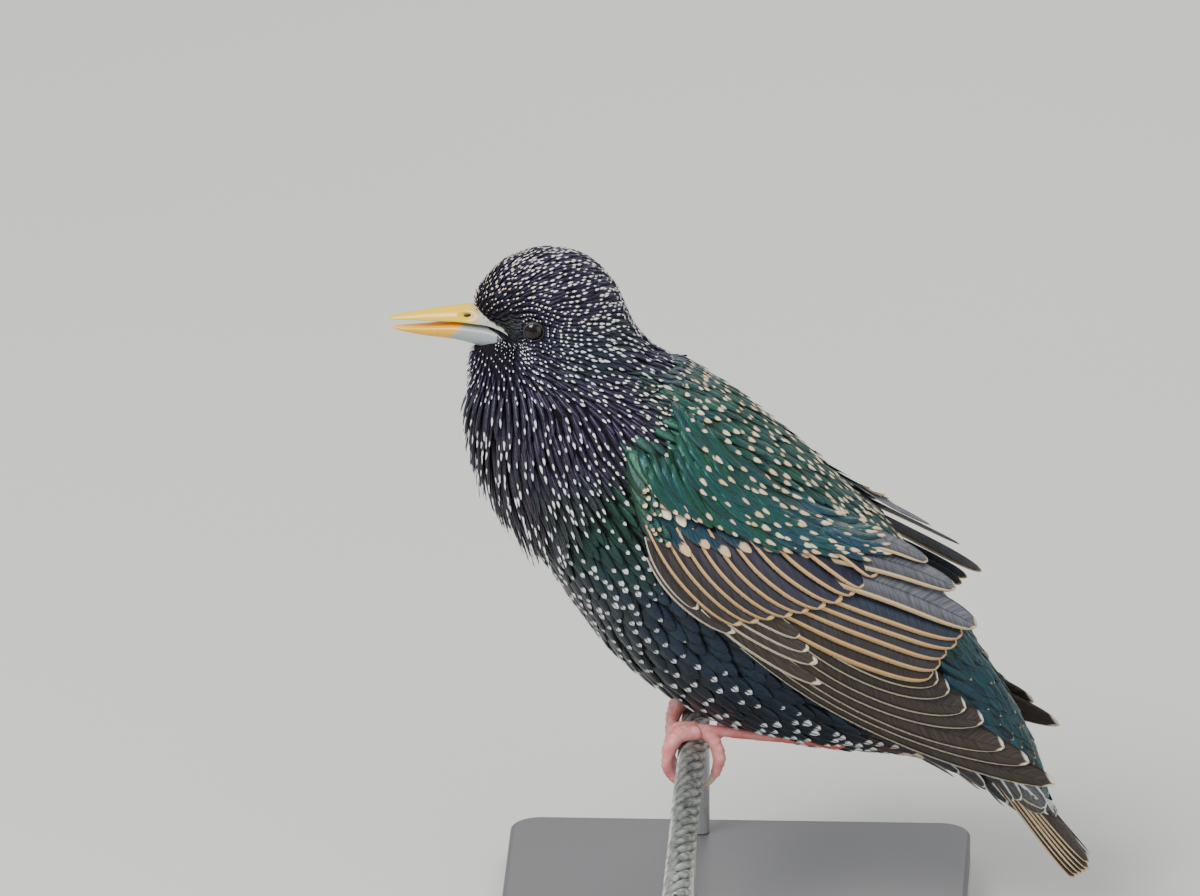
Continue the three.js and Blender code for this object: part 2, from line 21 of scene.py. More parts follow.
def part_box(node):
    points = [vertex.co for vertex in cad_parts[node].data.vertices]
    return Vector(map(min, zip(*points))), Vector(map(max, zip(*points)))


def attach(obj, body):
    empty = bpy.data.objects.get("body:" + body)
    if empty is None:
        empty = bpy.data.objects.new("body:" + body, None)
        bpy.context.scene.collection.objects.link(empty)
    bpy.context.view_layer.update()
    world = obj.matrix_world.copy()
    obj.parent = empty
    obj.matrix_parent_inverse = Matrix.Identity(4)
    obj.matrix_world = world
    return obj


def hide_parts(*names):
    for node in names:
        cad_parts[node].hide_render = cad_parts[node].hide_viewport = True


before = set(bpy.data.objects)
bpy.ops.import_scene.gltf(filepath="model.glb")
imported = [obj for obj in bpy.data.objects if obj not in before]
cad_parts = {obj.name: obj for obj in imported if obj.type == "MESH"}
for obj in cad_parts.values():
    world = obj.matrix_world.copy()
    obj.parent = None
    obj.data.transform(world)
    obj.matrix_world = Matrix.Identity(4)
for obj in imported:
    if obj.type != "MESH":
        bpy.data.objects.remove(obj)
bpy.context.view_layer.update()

LOG = logging.getLogger("starling")
MM = 0.001
ROPE_LOW, ROPE_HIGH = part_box("perch_rope")
ORIGIN = np.array([(ROPE_LOW.x + ROPE_HIGH.x) / 2, 0.0, (ROPE_LOW.z + ROPE_HIGH.z) / 2])
SEED, WING_SEED, TAIL_SEED = 41, 48, 52

Array = np.ndarray
Colour = tuple[float, float, float]


class Side(Enum):
    """The bird's own sides; the left one faces the camera."""

    LEFT = -1
    RIGHT = 1


# Sections of the body along its spine: x, z, half depth, half width
BODY_SECTIONS = np.array([
    (-40.4, 127.6, 0.05, 0.05), (-40.2, 126.9, 6.0, 4.4), (-39.7, 124.6, 11.6, 8.2),
    (-38.8, 120.6, 16.2, 11.0), (-37.8, 115.2, 19.4, 12.9), (-36.7, 108.8, 20.9, 13.9),
    (-35.4, 102.6, 22.2, 15.2), (-33.6, 96.3, 24.4, 17.3), (-31.2, 89.8, 27.1, 20.1),
    (-26.5, 81.5, 29.8, 23.6), (-19.0, 73.6, 31.6, 26.3), (-10.5, 65.2, 33.2, 28.7),
    (-2.0, 56.0, 34.8, 30.2), (6.5, 46.8, 35.8, 31.0), (17.0, 38.2, 35.0, 30.3),
    (28.0, 31.2, 33.0, 28.6), (38.0, 25.0, 29.3, 25.7), (48.0, 19.0, 24.5, 22.0),
    (56.0, 14.0, 20.0, 18.0), (63.0, 9.0, 16.0, 14.5), (69.0, 4.0, 13.0, 12.0),
    (74.0, -1.0, 10.5, 10.0), (78.5, -6.0, 8.2, 8.6), (82.0, -11.0, 6.2, 7.4),
    (85.5, -15.5, 3.6, 5.4), (88.0, -19.5, 0.05, 0.05),
])
# The wider form on which the folded wings lie
WING_SECTIONS = np.array([
    (-26.5, 81.5, 29.8, 23.6), (-10.5, 65.6, 33.0, 28.6), (6.5, 46.6, 36.0, 31.0),
    (28.0, 31.2, 35.0, 28.8), (50.0, 18.0, 37.0, 24.4), (70.0, 7.0, 40.0, 21.0),
    (95.0, -7.0, 40.0, 18.6),
])
EYE_SPOT = np.array([-39.5, 12.0, 110.3])
BILL_ROOT = np.array([-56.0, 0.0, 108.4])
BILL_TIP_X = -76.0
BILL_Z = 107.0
HEAD_CENTRE = np.array([-37.0, 0.0, 107.6])
HEAD_RADIUS = 18.0
FOOT_Y = 12.0
HEEL = (36.5, 3.2)
COAT_DEPTH = 1.3
# The unwrap's scale and margin, and the size of a small feather's patch on it
BAKE_SCALE, BAKE_MARGIN, BAKE_PATCH = 0.98, 0.01, 0.003


def metres(length: float, axis: int) -> float:
    """Returns the frame's coordinate, in metres, of a length in millimetres from the rope's axis."""
    return float(length * MM + ORIGIN[axis])


def smoothstep(low: float, high: float, value: Array) -> Array:
    """Returns the cubic ease from 0 at low to 1 at high."""
    t = np.clip((value - low) / (high - low), 0.0, 1.0)
    return t * t * (3.0 - 2.0 * t)


def catmull(rows: Array | Sequence[tuple[float, ...]], t: Array) -> Array:
    """Passes a smooth curve through rows of numbers.

    On each span the curve is the cubic whose slope at every row is half the step between its neighbours.

    Args:
        rows: Control rows, one point or set of sizes each.
        t: Places from 0 to 1 over the whole curve.

    Returns:
        One interpolated row for each t.
    """
    rows = np.asarray(rows, float)
    padded = np.vstack([2 * rows[0] - rows[1], rows, 2 * rows[-1] - rows[-2]])
    spans = len(rows) - 1
    place = np.clip(np.asarray(t, float), 0.0, 1.0) * spans
    k = np.minimum(place.astype(int), spans - 1)
    f = (place - k)[..., None]
    a, b, c, d = (padded[k + i] for i in range(4))
    return b + 0.5 * f * (c - a + f * (2 * a - 5 * b + 4 * c - d + f * (3 * b - a - 3 * c + d)))


def unit(v: Array) -> Array:
    """Returns the vectors scaled to length one."""
    return v / np.maximum(np.linalg.norm(v, axis=-1, keepdims=True), 1e-9)


def full_turn(count: int) -> Array:
    """Returns angles evenly spaced round a full turn."""
    return np.linspace(0, 2 * np.pi, count, endpoint=False)


def to_tip(count: int) -> Array:
    """Returns places from root to tip that crowd towards the tip: one less (1 - q) to the power 1.6."""
    return 1.0 - (1.0 - np.linspace(0, 1, count)) ** 1.6


def inside(x: Array, z: Array, outline: Sequence[tuple[float, float]]) -> Array:
    """Tells which points lie inside a closed outline, by counting the edges to the right of each."""
    corners = np.array(outline)
    result = np.zeros(np.shape(x), bool)
    for (x0, z0), (x1, z1) in zip(corners, np.roll(corners, -1, axis=0)):
        crosses = (z0 > z) != (z1 > z)
        edge = (x1 - x0) * (z - z0) / (z1 - z0 + 1e-12) + x0
        result ^= crosses & (x < edge)
    return result


@dataclass
class Surface:
    """A closed mesh in millimetres, with the attributes that its finish reads."""

    verts: Array
    polygons: list[Array]
    uv: Array | None = None
    bake: Array | None = None
    colours: dict[str, Array] = field(default_factory=dict)

    def join(self, other: "Surface") -> "Surface":
        """Returns this surface and another one as one mesh; both carry the same attributes."""
        shift = len(self.verts)
        mixed = {name: np.vstack([rows, other.colours[name]]) for name, rows in self.colours.items()}
        uv = None if self.uv is None else np.vstack([self.uv, other.uv])
        bake = None if self.bake is None else np.vstack([self.bake, other.bake])
        return Surface(np.vstack([self.verts, other.verts]),
                       self.polygons + [p + shift for p in other.polygons], uv, bake, mixed)

    def volume(self) -> float:
        """Returns the signed volume: positive when the faces point outwards."""
        total = 0.0
        for faces in self.polygons:
            corners = self.verts[faces]
            for i in range(1, faces.shape[1] - 1):
                cross = np.cross(corners[:, i], corners[:, i + 1])
                total += float(np.einsum("ij,ij->", corners[:, 0], cross))
        return total / 6.0

    def build(self, name: str, smooth: bool = True) -> bpy.types.Object:
        """Makes the mesh object in the frame's place, in metres.

        Args:
            name: Name of the new object.
            smooth: Whether its faces are shaded smooth.

        Returns:
            The linked object, with its place in its mesh.
        """
        polygons = self.polygons if self.volume() >= 0 else [p[:, ::-1] for p in self.polygons]
        mesh = bpy.data.meshes.new(name)
        mesh.vertices.add(len(self.verts))
        mesh.vertices.foreach_set("co", (self.verts * MM + ORIGIN).astype(np.float32).ravel())
        loops = np.concatenate([p.ravel() for p in polygons]).astype(np.int32)
        sizes = np.concatenate([np.full(len(p), p.shape[1]) for p in polygons])
        mesh.loops.add(len(loops))
        mesh.loops.foreach_set("vertex_index", loops)
        mesh.polygons.add(len(sizes))
        mesh.polygons.foreach_set("loop_start", np.concatenate([[0], np.cumsum(sizes)[:-1]]).astype(np.int32))
        mesh.polygons.foreach_set("use_smooth", np.full(len(sizes), smooth))
        for label, rows in (("OFBake", self.bake), ("Vane", self.uv)):
            if rows is not None:
                layer = mesh.uv_layers.new(name=label)
                layer.data.foreach_set("uv", rows[loops].astype(np.float32).ravel())
        for label, rows in self.colours.items():
            layer = mesh.attributes.new(label, "FLOAT_COLOR", "POINT")
            layer.data.foreach_set("color", rows.astype(np.float32).ravel())
        mesh.update(calc_edges=True)
        mesh.validate()
        piece = bpy.data.objects.new(name, mesh)
        bpy.context.scene.collection.objects.link(piece)
        return piece


def tube_faces(count: int, rows: int, sides: int) -> list[Array]:
    """Returns the quads and the two end caps of tubes numbered tube by tube and ring by ring."""
    ids = np.arange(count * rows * sides).reshape(count, rows, sides)
    right = np.roll(ids, -1, axis=2)
    quads = np.stack([ids[:, :-1], right[:, :-1], right[:, 1:], ids[:, 1:]], -1).reshape(-1, 4)
    return [quads, ids[:, 0, ::-1].copy(), ids[:, -1].copy()]


def grid_surface(points: Array, caps: bool = True) -> Surface:
    """Skins a grid of points, with a closed ring of points in each of its rows.

    Args:
        points: Grid of points, rings x points on a ring x 3.
        caps: Whether a polygon closes the first and the last ring.

    Returns:
        The closed surface, with uv running across the ring and along the rows.
    """
    rows, sides = points.shape[:2]
    polygons = tube_faces(1, rows, sides)
    u, v = np.meshgrid(np.linspace(0, 1, sides), np.linspace(0, 1, rows))
    return Surface(points.reshape(-1, 3), polygons if caps else polygons[:1],
                   np.stack([u, v], -1).reshape(-1, 2))


class Form:
    """A smooth round form given by sections along a spine on the bird's midline plane."""

    def __init__(self, sections: Array) -> None:
        """Keeps the sections and a fine table of the spine for nearest-place searches."""
        self.sections = sections
        self.fine = np.linspace(0, 1, 400)
        self.table = self.frame(self.fine)

    def frame(self, t: Array) -> dict[str, Array]:
        """Returns centre, direction along, direction to the back and both half sizes at t."""
        t = np.asarray(t, float)
        row = catmull(self.sections, t)
        ahead = catmull(self.sections, np.clip(t + 1e-3, 0, 1))
        step = ahead - catmull(self.sections, np.clip(t - 1e-3, 0, 1))
        zero = np.zeros(t.shape)
        along = unit(np.stack([step[..., 0], zero, step[..., 1]], -1))
        back = np.stack([-along[..., 2], zero, along[..., 0]], -1)
        return {"centre": np.stack([row[..., 0], zero, row[..., 1]], -1), "along": along, "back": back,
                "deep": np.maximum(row[..., 2], 0.02), "wide": np.maximum(row[..., 3], 0.02)}

    def point(self, t: Array, angle: Array, lift: Array | float) -> Array:
        """Returns points at an angle from the back: centre + back cos + sideways sin, both grown by lift."""
        f = self.frame(t)
        deep = np.maximum(f["deep"] + lift, 0.01)[..., None]
        wide = np.maximum(f["wide"] + lift, 0.01)[..., None]
        across = np.array([0.0, 1.0, 0.0])
        cos, sin = np.cos(angle)[..., None], np.sin(angle)[..., None]
        return f["centre"] + f["back"] * deep * cos + across * wide * sin

    def half_width(self, x: Array, z: Array) -> Array:
        """Returns the half width where lines along Y through x, z meet the form.

        The nearest section is the one whose plane passes closest to the point; there the half width is
        wide times the root of one minus the squared share of the half depth.
        """
        offset = np.stack([x, np.zeros_like(x), z], -1)[..., None, :] - self.table["centre"]
        off_plane = np.abs(np.einsum("...ij,ij->...i", offset, self.table["along"]))
        far = np.linalg.norm(offset, axis=-1) > self.table["deep"] * 1.3
        best = np.argmin(off_plane + 1e3 * far, axis=-1)
        depth = np.einsum("...j,...j->...",
                          np.take_along_axis(offset, best[..., None, None], -2)[..., 0, :],
                          self.table["back"][best])
        share = np.minimum(np.abs(depth) / self.table["deep"][best], 0.96)
        return self.table["wide"][best] * np.sqrt(1 - share ** 2)


BODY = Form(BODY_SECTIONS)
WING_FORM = Form(WING_SECTIONS)


# Finishes


class Nodes:
    """A short way to write a material's node tree."""

    def __init__(self, name: str) -> None:
        """Starts an empty material with a Principled shader."""
        self.material = bpy.data.materials.new(name)
        self.material.use_nodes = True
        self.tree = self.material.node_tree
        self.shader = self.tree.nodes["Principled BSDF"]

    def add(self, kind: str, **values: object) -> bpy.types.Node:
        """Adds a node; keyword values set its properties."""
        node = self.tree.nodes.new(kind)
        for key, value in values.items():
            setattr(node, key, value)
        return node

    def feed(self, socket: bpy.types.NodeSocket, value: object) -> None:
        """Links a socket into another, or sets a plain value on it."""
        if isinstance(value, bpy.types.NodeSocket):
            self.tree.links.new(value, socket)
        else:
            socket.default_value = value

    def math(self, operation: str, a: object, b: object = 0.0, c: object = 0.0) -> bpy.types.NodeSocket:
        """Returns the result of a maths node."""
        node = self.add("ShaderNodeMath", operation=operation)
        for socket, value in zip(node.inputs, (a, b, c)):
            self.feed(socket, value)
        return node.outputs[0]

    def step(self, value: object, low: object, high: object) -> bpy.types.NodeSocket:
        """Returns the smooth ease of a value from 0 at low to 1 at high."""
        node = self.add("ShaderNodeMapRange", interpolation_type="SMOOTHSTEP")
        for index, item in enumerate((value, low, high)):
            self.feed(node.inputs[index], item)
        return node.outputs[0]

    def mix(self, share: object, a: object, b: object, blend: str = "MIX") -> bpy.types.NodeSocket:
        """Returns colour a moved towards colour b by a share."""
        node = self.add("ShaderNodeMix", data_type="RGBA", blend_type=blend)
        self.feed(node.inputs[0], share)
        self.feed(node.inputs[6], rgba(a))
        self.feed(node.inputs[7], rgba(b))
        return node.outputs[2]

    def ramp(self, share: object, stops: Sequence[tuple[float, Colour]]) -> bpy.types.NodeSocket:
        """Returns a colour from a ramp with the given stops."""
        node = self.add("ShaderNodeValToRGB")
        ramp = node.color_ramp
        while len(ramp.elements) < len(stops):
            ramp.elements.new(0.5)
        for element, (place, colour) in zip(ramp.elements, stops):
            element.position = place
            element.color = (*colour, 1.0)
        self.feed(node.inputs[0], share)
        return node.outputs[0]

    def place(self) -> bpy.types.NodeSocket:
        """Returns the object coordinates, in metres."""
        return self.add("ShaderNodeTexCoord").outputs["Object"]

    def split(self, vector: object) -> tuple[bpy.types.NodeSocket, ...]:
        """Returns the x, y and z of a vector."""
        node = self.add("ShaderNodeSeparateXYZ")
        self.feed(node.inputs[0], vector)
        return tuple(node.outputs)

    def noise(self, vector: object, scale: float, detail: float = 3.0) -> bpy.types.NodeSocket:
        """Returns a noise value from 0 to 1."""
        node = self.add("ShaderNodeTexNoise")
        self.feed(node.inputs["Vector"], vector)
        node.inputs["Scale"].default_value = scale
        node.inputs["Detail"].default_value = detail
        return node.outputs[0]

    def bump(self, height: object, strength: float, distance: float) -> None:
        """Lays a relief on the shader; distance is its depth in metres."""
        node = self.add("ShaderNodeBump")
        node.inputs["Strength"].default_value = strength
        node.inputs["Distance"].default_value = distance
        self.feed(node.inputs["Height"], height)
        self.feed(self.shader.inputs["Normal"], node.outputs[0])

    def surface(self, colour: object, roughness: object, **plain: float) -> bpy.types.Material:
        """Sets the shader's colour and roughness and any plain sockets, and returns the material."""
        self.feed(self.shader.inputs["Base Color"], rgba(colour))
        self.feed(self.shader.inputs["Roughness"], roughness)
        for key, value in plain.items():
            self.shader.inputs[key.replace("_", " ")].default_value = value
        return self.material


def rgba(value: object) -> object:
    """Returns a plain colour with an alpha of one, and anything else as it is."""
    return (*value, 1.0) if isinstance(value, tuple) and len(value) == 3 else value


@dataclass(frozen=True)
class FeatherFinish:
    """Feathers whose ground, tip spot and fringe come from their own attributes.

    The uv map Vane runs across the vane in u and from root to tip in v. tint is the ground colour, mark the
    spot's colour with its length in alpha, and form holds notch, fringe strength, edge strength and whether
    both sides are edged.
    """

    name: str
    roughness: float = 0.42
    metallic: float = 0.35
    barbs: float = 26.0
    slant: float = 0.16
    tip_edge: float = 0.955
    fringe: Colour = (0.20, 0.17, 0.16)
    hue_turn: float = 0.09
    gloss: float = 0.45
    sheen: float = 0.05

    def material(self) -> bpy.types.Material:
        """Builds the material."""
        n = Nodes(self.name)
        vane = n.add("ShaderNodeUVMap", uv_map="Vane").outputs[0]
        u, v, _ = n.split(vane)
        tint = n.add("ShaderNodeAttribute", attribute_name="tint")
        mark = n.add("ShaderNodeAttribute", attribute_name="mark")
        form = n.add("ShaderNodeAttribute", attribute_name="form")
        notch, fringe, edges = n.split(form.outputs["Vector"])
        off = n.math("SUBTRACT", n.math("MULTIPLY", u, 2.0), 1.0)
        across = n.math("ABSOLUTE", off)
        # Barbs run out from the shaft towards the tip, each a little lighter or darker than the next
        joined = n.add("ShaderNodeCombineXYZ")
        slanted = n.math("SUBTRACT", v, n.math("MULTIPLY", across, self.slant))
        n.feed(joined.inputs[0], n.math("MULTIPLY", slanted, self.barbs))
        n.feed(joined.inputs[1], off)
        place = n.add("ShaderNodeVectorMath", operation="MULTIPLY_ADD")
        n.feed(place.inputs[0], n.place())
        place.inputs[1].default_value = (60.0, 60.0, 60.0)
        n.feed(place.inputs[2], joined.outputs[0])
        barb = n.step(n.noise(place.outputs[0], 1.0, 2.0), 0.3, 0.7)
        shade = n.math("ADD", 0.62, n.math("MULTIPLY", barb, 0.62))
        facing = n.add("ShaderNodeLayerWeight")
        turned = n.add("ShaderNodeHueSaturation")
        n.feed(turned.inputs["Hue"], n.math("MULTIPLY_ADD", facing.outputs[1], -self.hue_turn, 0.5))
        n.feed(turned.inputs["Color"], tint.outputs["Color"])
        ground = n.mix(1.0, turned.outputs[0], shade, "MULTIPLY")
        shaft = n.math("SUBTRACT", 1.0, n.step(across, 0.02, 0.1))
        ground = n.mix(n.math("MULTIPLY", shaft, 0.5), ground, (0.012, 0.011, 0.012))
        # The fringe lightens the sides near the tip
        side = n.math("MULTIPLY", n.step(across, 0.45, 0.95), n.step(v, 0.25, 0.8))
        side = n.math("MULTIPLY", side, fringe)
        ground = n.mix(side, ground, self.fringe)
        other = n.math("MULTIPLY", n.step(n.math("MULTIPLY", off, -1.0), 0.74, 0.84), form.outputs["Alpha"])
        tip = n.step(n.math("ADD", v, n.math("MULTIPLY", across, 0.03)), self.tip_edge, self.tip_edge + 0.02)
        # A weak edge is also a narrow one
        inner = n.math("SUBTRACT", 0.96, n.math("MULTIPLY", edges, 0.25))
        near = n.step(off, inner, n.math("ADD", inner, 0.08))
        rim = n.math("MAXIMUM", n.math("MAXIMUM", near, other), tip)
        rim = n.math("MULTIPLY", rim, n.step(edges, 0.0, 0.4))
        # Darker within the rim, as on a folded wing
        dusk = n.math("MULTIPLY", n.math("MULTIPLY", n.step(off, 0.2, 0.7), edges), 0.45)
        ground = n.mix(dusk, ground, (0.020, 0.016, 0.014))
        ground = n.mix(rim, ground, mark.outputs["Color"])
        # The spot fills the tip; its root is ragged, and a notch splits it along the shaft
        ragged = n.math("MULTIPLY", n.math("SUBTRACT", n.noise(place.outputs[0], 2.0, 1.0), 0.5), 0.12)
        start = n.math("SUBTRACT", 1.0, mark.outputs["Alpha"])
        start = n.math("ADD", start, n.math("MULTIPLY", n.math("POWER", across, 2.0), 0.07))
        reach = n.step(n.math("ADD", v, ragged), start, n.math("ADD", start, 0.04))
        cleft = n.math("MULTIPLY", notch, n.math("SUBTRACT", 1.0, n.step(across, 0.08, 0.22)))
        body = n.math("SUBTRACT", 1.0, n.step(across, 0.80, 1.0))
        spot = n.math("MULTIPLY", n.math("MULTIPLY", reach, n.math("SUBTRACT", 1.0, cleft)),
                      n.math("MAXIMUM", body, n.math("SUBTRACT", 1.0, notch)))
        spot = n.math("MULTIPLY", spot, n.step(mark.outputs["Alpha"], 0.005, 0.02))
        spot = n.math("MULTIPLY", spot, n.math("SUBTRACT", 1.0, edges))
        colour = n.mix(spot, ground, mark.outputs["Color"])
        n.bump(barb, 0.45, 0.00012)
        pale = n.math("MAXIMUM", n.math("MAXIMUM", spot, side), rim)
        rough = n.math("ADD", self.roughness, n.math("MULTIPLY", pale, 0.3))
        n.feed(n.shader.inputs["Metallic"], n.math("MULTIPLY", n.math("SUBTRACT", 1.0, pale), self.metallic))
        return n.surface(colour, rough, Specular_IOR_Level=self.gloss, Sheen_Weight=self.sheen,
                         Sheen_Roughness=0.4)


@dataclass(frozen=True)
class SkinFinish:
    """The dark down and skin that shows between the feathers."""

    name: str = "down_and_skin"

    def material(self) -> bpy.types.Material:
        """Builds the material."""
        n = Nodes(self.name)
        grain = n.noise(n.place(), 900.0, 4.0)
        n.bump(grain, 0.6, 0.0004)
        return n.surface(n.mix(grain, (0.004, 0.004, 0.006), (0.016, 0.014, 0.018)), 0.9,
                         Specular_IOR_Level=0.08)


@dataclass(frozen=True)
class BillFinish:
    """Horn, from yellow at the tip to pale or blue-grey at the root."""

    name: str
    tip: Colour
    middle: Colour
    root: Colour
    turn_x: float
    spread: float
    slant: float = 0.0

    def material(self) -> bpy.types.Material:
        """Builds the material; turn_x is where the root's colour begins."""
        n = Nodes(self.name)
        place = n.place()
        x, _, z = n.split(place)
        cloud = n.noise(place, 700.0, 3.0)
        x = n.math("ADD", x, n.math("MULTIPLY", n.math("SUBTRACT", cloud, 0.5), 0.0025))
        height = n.math("SUBTRACT", z, metres(BILL_Z, 2))
        x = n.math("SUBTRACT", x, n.math("MULTIPLY", height, self.slant))
        start, end = metres(self.turn_x - self.spread, 0), metres(self.turn_x + self.spread, 0)
        colour = n.mix(n.step(x, metres(BILL_TIP_X, 0), start), self.tip, self.middle)
        colour = n.mix(n.step(x, start, end), colour, self.root)
        stretch = n.add("ShaderNodeMapping")
        stretch.inputs["Scale"].default_value = (0.12, 1.0, 1.0)
        n.feed(stretch.inputs["Vector"], place)
        fibre = n.noise(stretch.outputs[0], 2600.0, 2.0)
        colour = n.mix(n.math("MULTIPLY", fibre, 0.14), colour, (0.55, 0.36, 0.10))
        n.bump(fibre, 0.25, 0.0001)
        return n.surface(colour, 0.34, Subsurface_Weight=0.08, Subsurface_Scale=0.001, Coat_Weight=0.15)


@dataclass(frozen=True)
class EyeFinish:
    """A near-black brown eye with a darker pupil under a wet cornea."""

    name: str
    pupil: tuple[float, float] = (1.15, 1.3)

    def material(self) -> bpy.types.Material:
        """Builds the material; the pupil is a disc whose edge fades between its two radii."""
        n = Nodes(self.name)
        x, _, z = n.split(n.place())
        dx = n.math("SUBTRACT", x, metres(EYE_SPOT[0], 0))
        dz = n.math("SUBTRACT", z, metres(EYE_SPOT[2], 2))
        radius = n.math("SQRT", n.math("ADD", n.math("POWER", dx, 2.0), n.math("POWER", dz, 2.0)))
        iris = n.mix(n.noise(n.place(), 1800.0, 3.0), (0.014, 0.008, 0.006), (0.005, 0.003, 0.003))
        edge = n.step(radius, self.pupil[0] * MM, self.pupil[1] * MM)
        colour = n.mix(edge, (0.002, 0.002, 0.002), iris)
        return n.surface(colour, 0.06, Coat_Weight=0.2, Coat_Roughness=0.03, Specular_IOR_Level=0.3)


@dataclass(frozen=True)
class HideFinish:
    """Scaled leg skin or bare eyelid skin.

    With a far colour, the light one turns into it between the two places fade along X.
    """

    name: str
    light: Colour
    dark: Colour
    scale: float = 900.0
    roughness: float = 0.45
    far: Colour | None = None
    fade: tuple[float, float] = (8.0, 34.0)

    def material(self) -> bpy.types.Material:
        """Builds the material."""
        n = Nodes(self.name)
        place = n.place()
        cell = n.add("ShaderNodeTexVoronoi")
        n.feed(cell.inputs["Vector"], place)
        cell.inputs["Scale"].default_value = self.scale
        cloud = n.noise(place, 260.0, 3.0)
        light = self.light
        if self.far is not None:
            share = n.step(n.split(place)[0], metres(self.fade[0], 0), metres(self.fade[1], 0))
            light = n.mix(share, light, self.far)
        colour = n.mix(n.math("MULTIPLY", n.step(cloud, 0.3, 0.75), 0.8), light, self.dark)
        colour = n.mix(n.math("MULTIPLY", n.step(cell.outputs[0], 0.35, 0.7), 0.35), colour, self.dark)
        n.bump(n.math("SUBTRACT", 1.0, cell.outputs[0]), 0.5, 0.00015)
        return n.surface(colour, self.roughness, Subsurface_Weight=0.1, Subsurface_Scale=0.001)


@dataclass(frozen=True)
class ClawFinish:
    """Pale horn that darkens towards the point."""

    name: str = "claw_horn"

    def material(self) -> bpy.types.Material:
        """Builds the material from the claw's own uv, which runs from root to point in v."""
        n = Nodes(self.name)
        v = n.split(n.add("ShaderNodeUVMap", uv_map="Vane").outputs[0])[1]
        grain = n.noise(n.place(), 1500.0, 3.0)
        share = n.math("ADD", v, n.math("MULTIPLY", grain, 0.2))
        return n.surface(n.ramp(share, [(0.0, (0.50, 0.30, 0.24)), (0.45, (0.55, 0.44, 0.33)),
                                        (1.0, (0.22, 0.17, 0.13))]), 0.35, Subsurface_Weight=0.1,
                         Subsurface_Scale=0.001)


@dataclass(frozen=True)
class SteelFinish:
    """Dull steel with cloudy patches of grime."""

    name: str
    light: Colour
    dark: Colour
    roughness: float
    scale: float = 420.0

    def material(self) -> bpy.types.Material:
        """Builds the material."""
        n = Nodes(self.name)
        place = n.place()
        cloud = n.noise(place, self.scale, 4.0)
        fine = n.noise(place, self.scale * 7.0, 2.0)
        colour = n.mix(n.step(cloud, 0.35, 0.7), self.light, self.dark)
        rough = n.math("ADD", self.roughness, n.math("MULTIPLY", fine, 0.18))
        n.bump(fine, 0.2, 0.00005)
        return n.surface(colour, rough, Metallic=0.85)


@dataclass(frozen=True)
class PaintFinish:
    """Satin paint with a slight orange-peel."""

    name: str
    colour: Colour

    def material(self) -> bpy.types.Material:
        """Builds the material."""
        n = Nodes(self.name)
        place = n.place()
        n.bump(n.noise(place, 700.0, 2.0), 0.08, 0.0002)
        cloud = n.noise(place, 30.0, 3.0)
        lighter = tuple(min(1.0, c * 1.18) for c in self.colour)
        return n.surface(n.mix(cloud, self.colour, lighter),
                         n.math("ADD", 0.38, n.math("MULTIPLY", cloud, 0.1)))


def dress(piece: bpy.types.Object, material: bpy.types.Material, slot: str, *nodes: str) -> bpy.types.Object:
    """Gives a piece its material and body, and hides the CAD nodes that it stands for."""
    piece.data.materials.clear()
    piece.data.materials.append(material)
    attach(piece, "root")
    if nodes:
        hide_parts(*nodes)
    LOG.info("%s: %d faces", piece.name, len(piece.data.polygons))
    return piece


# Skin


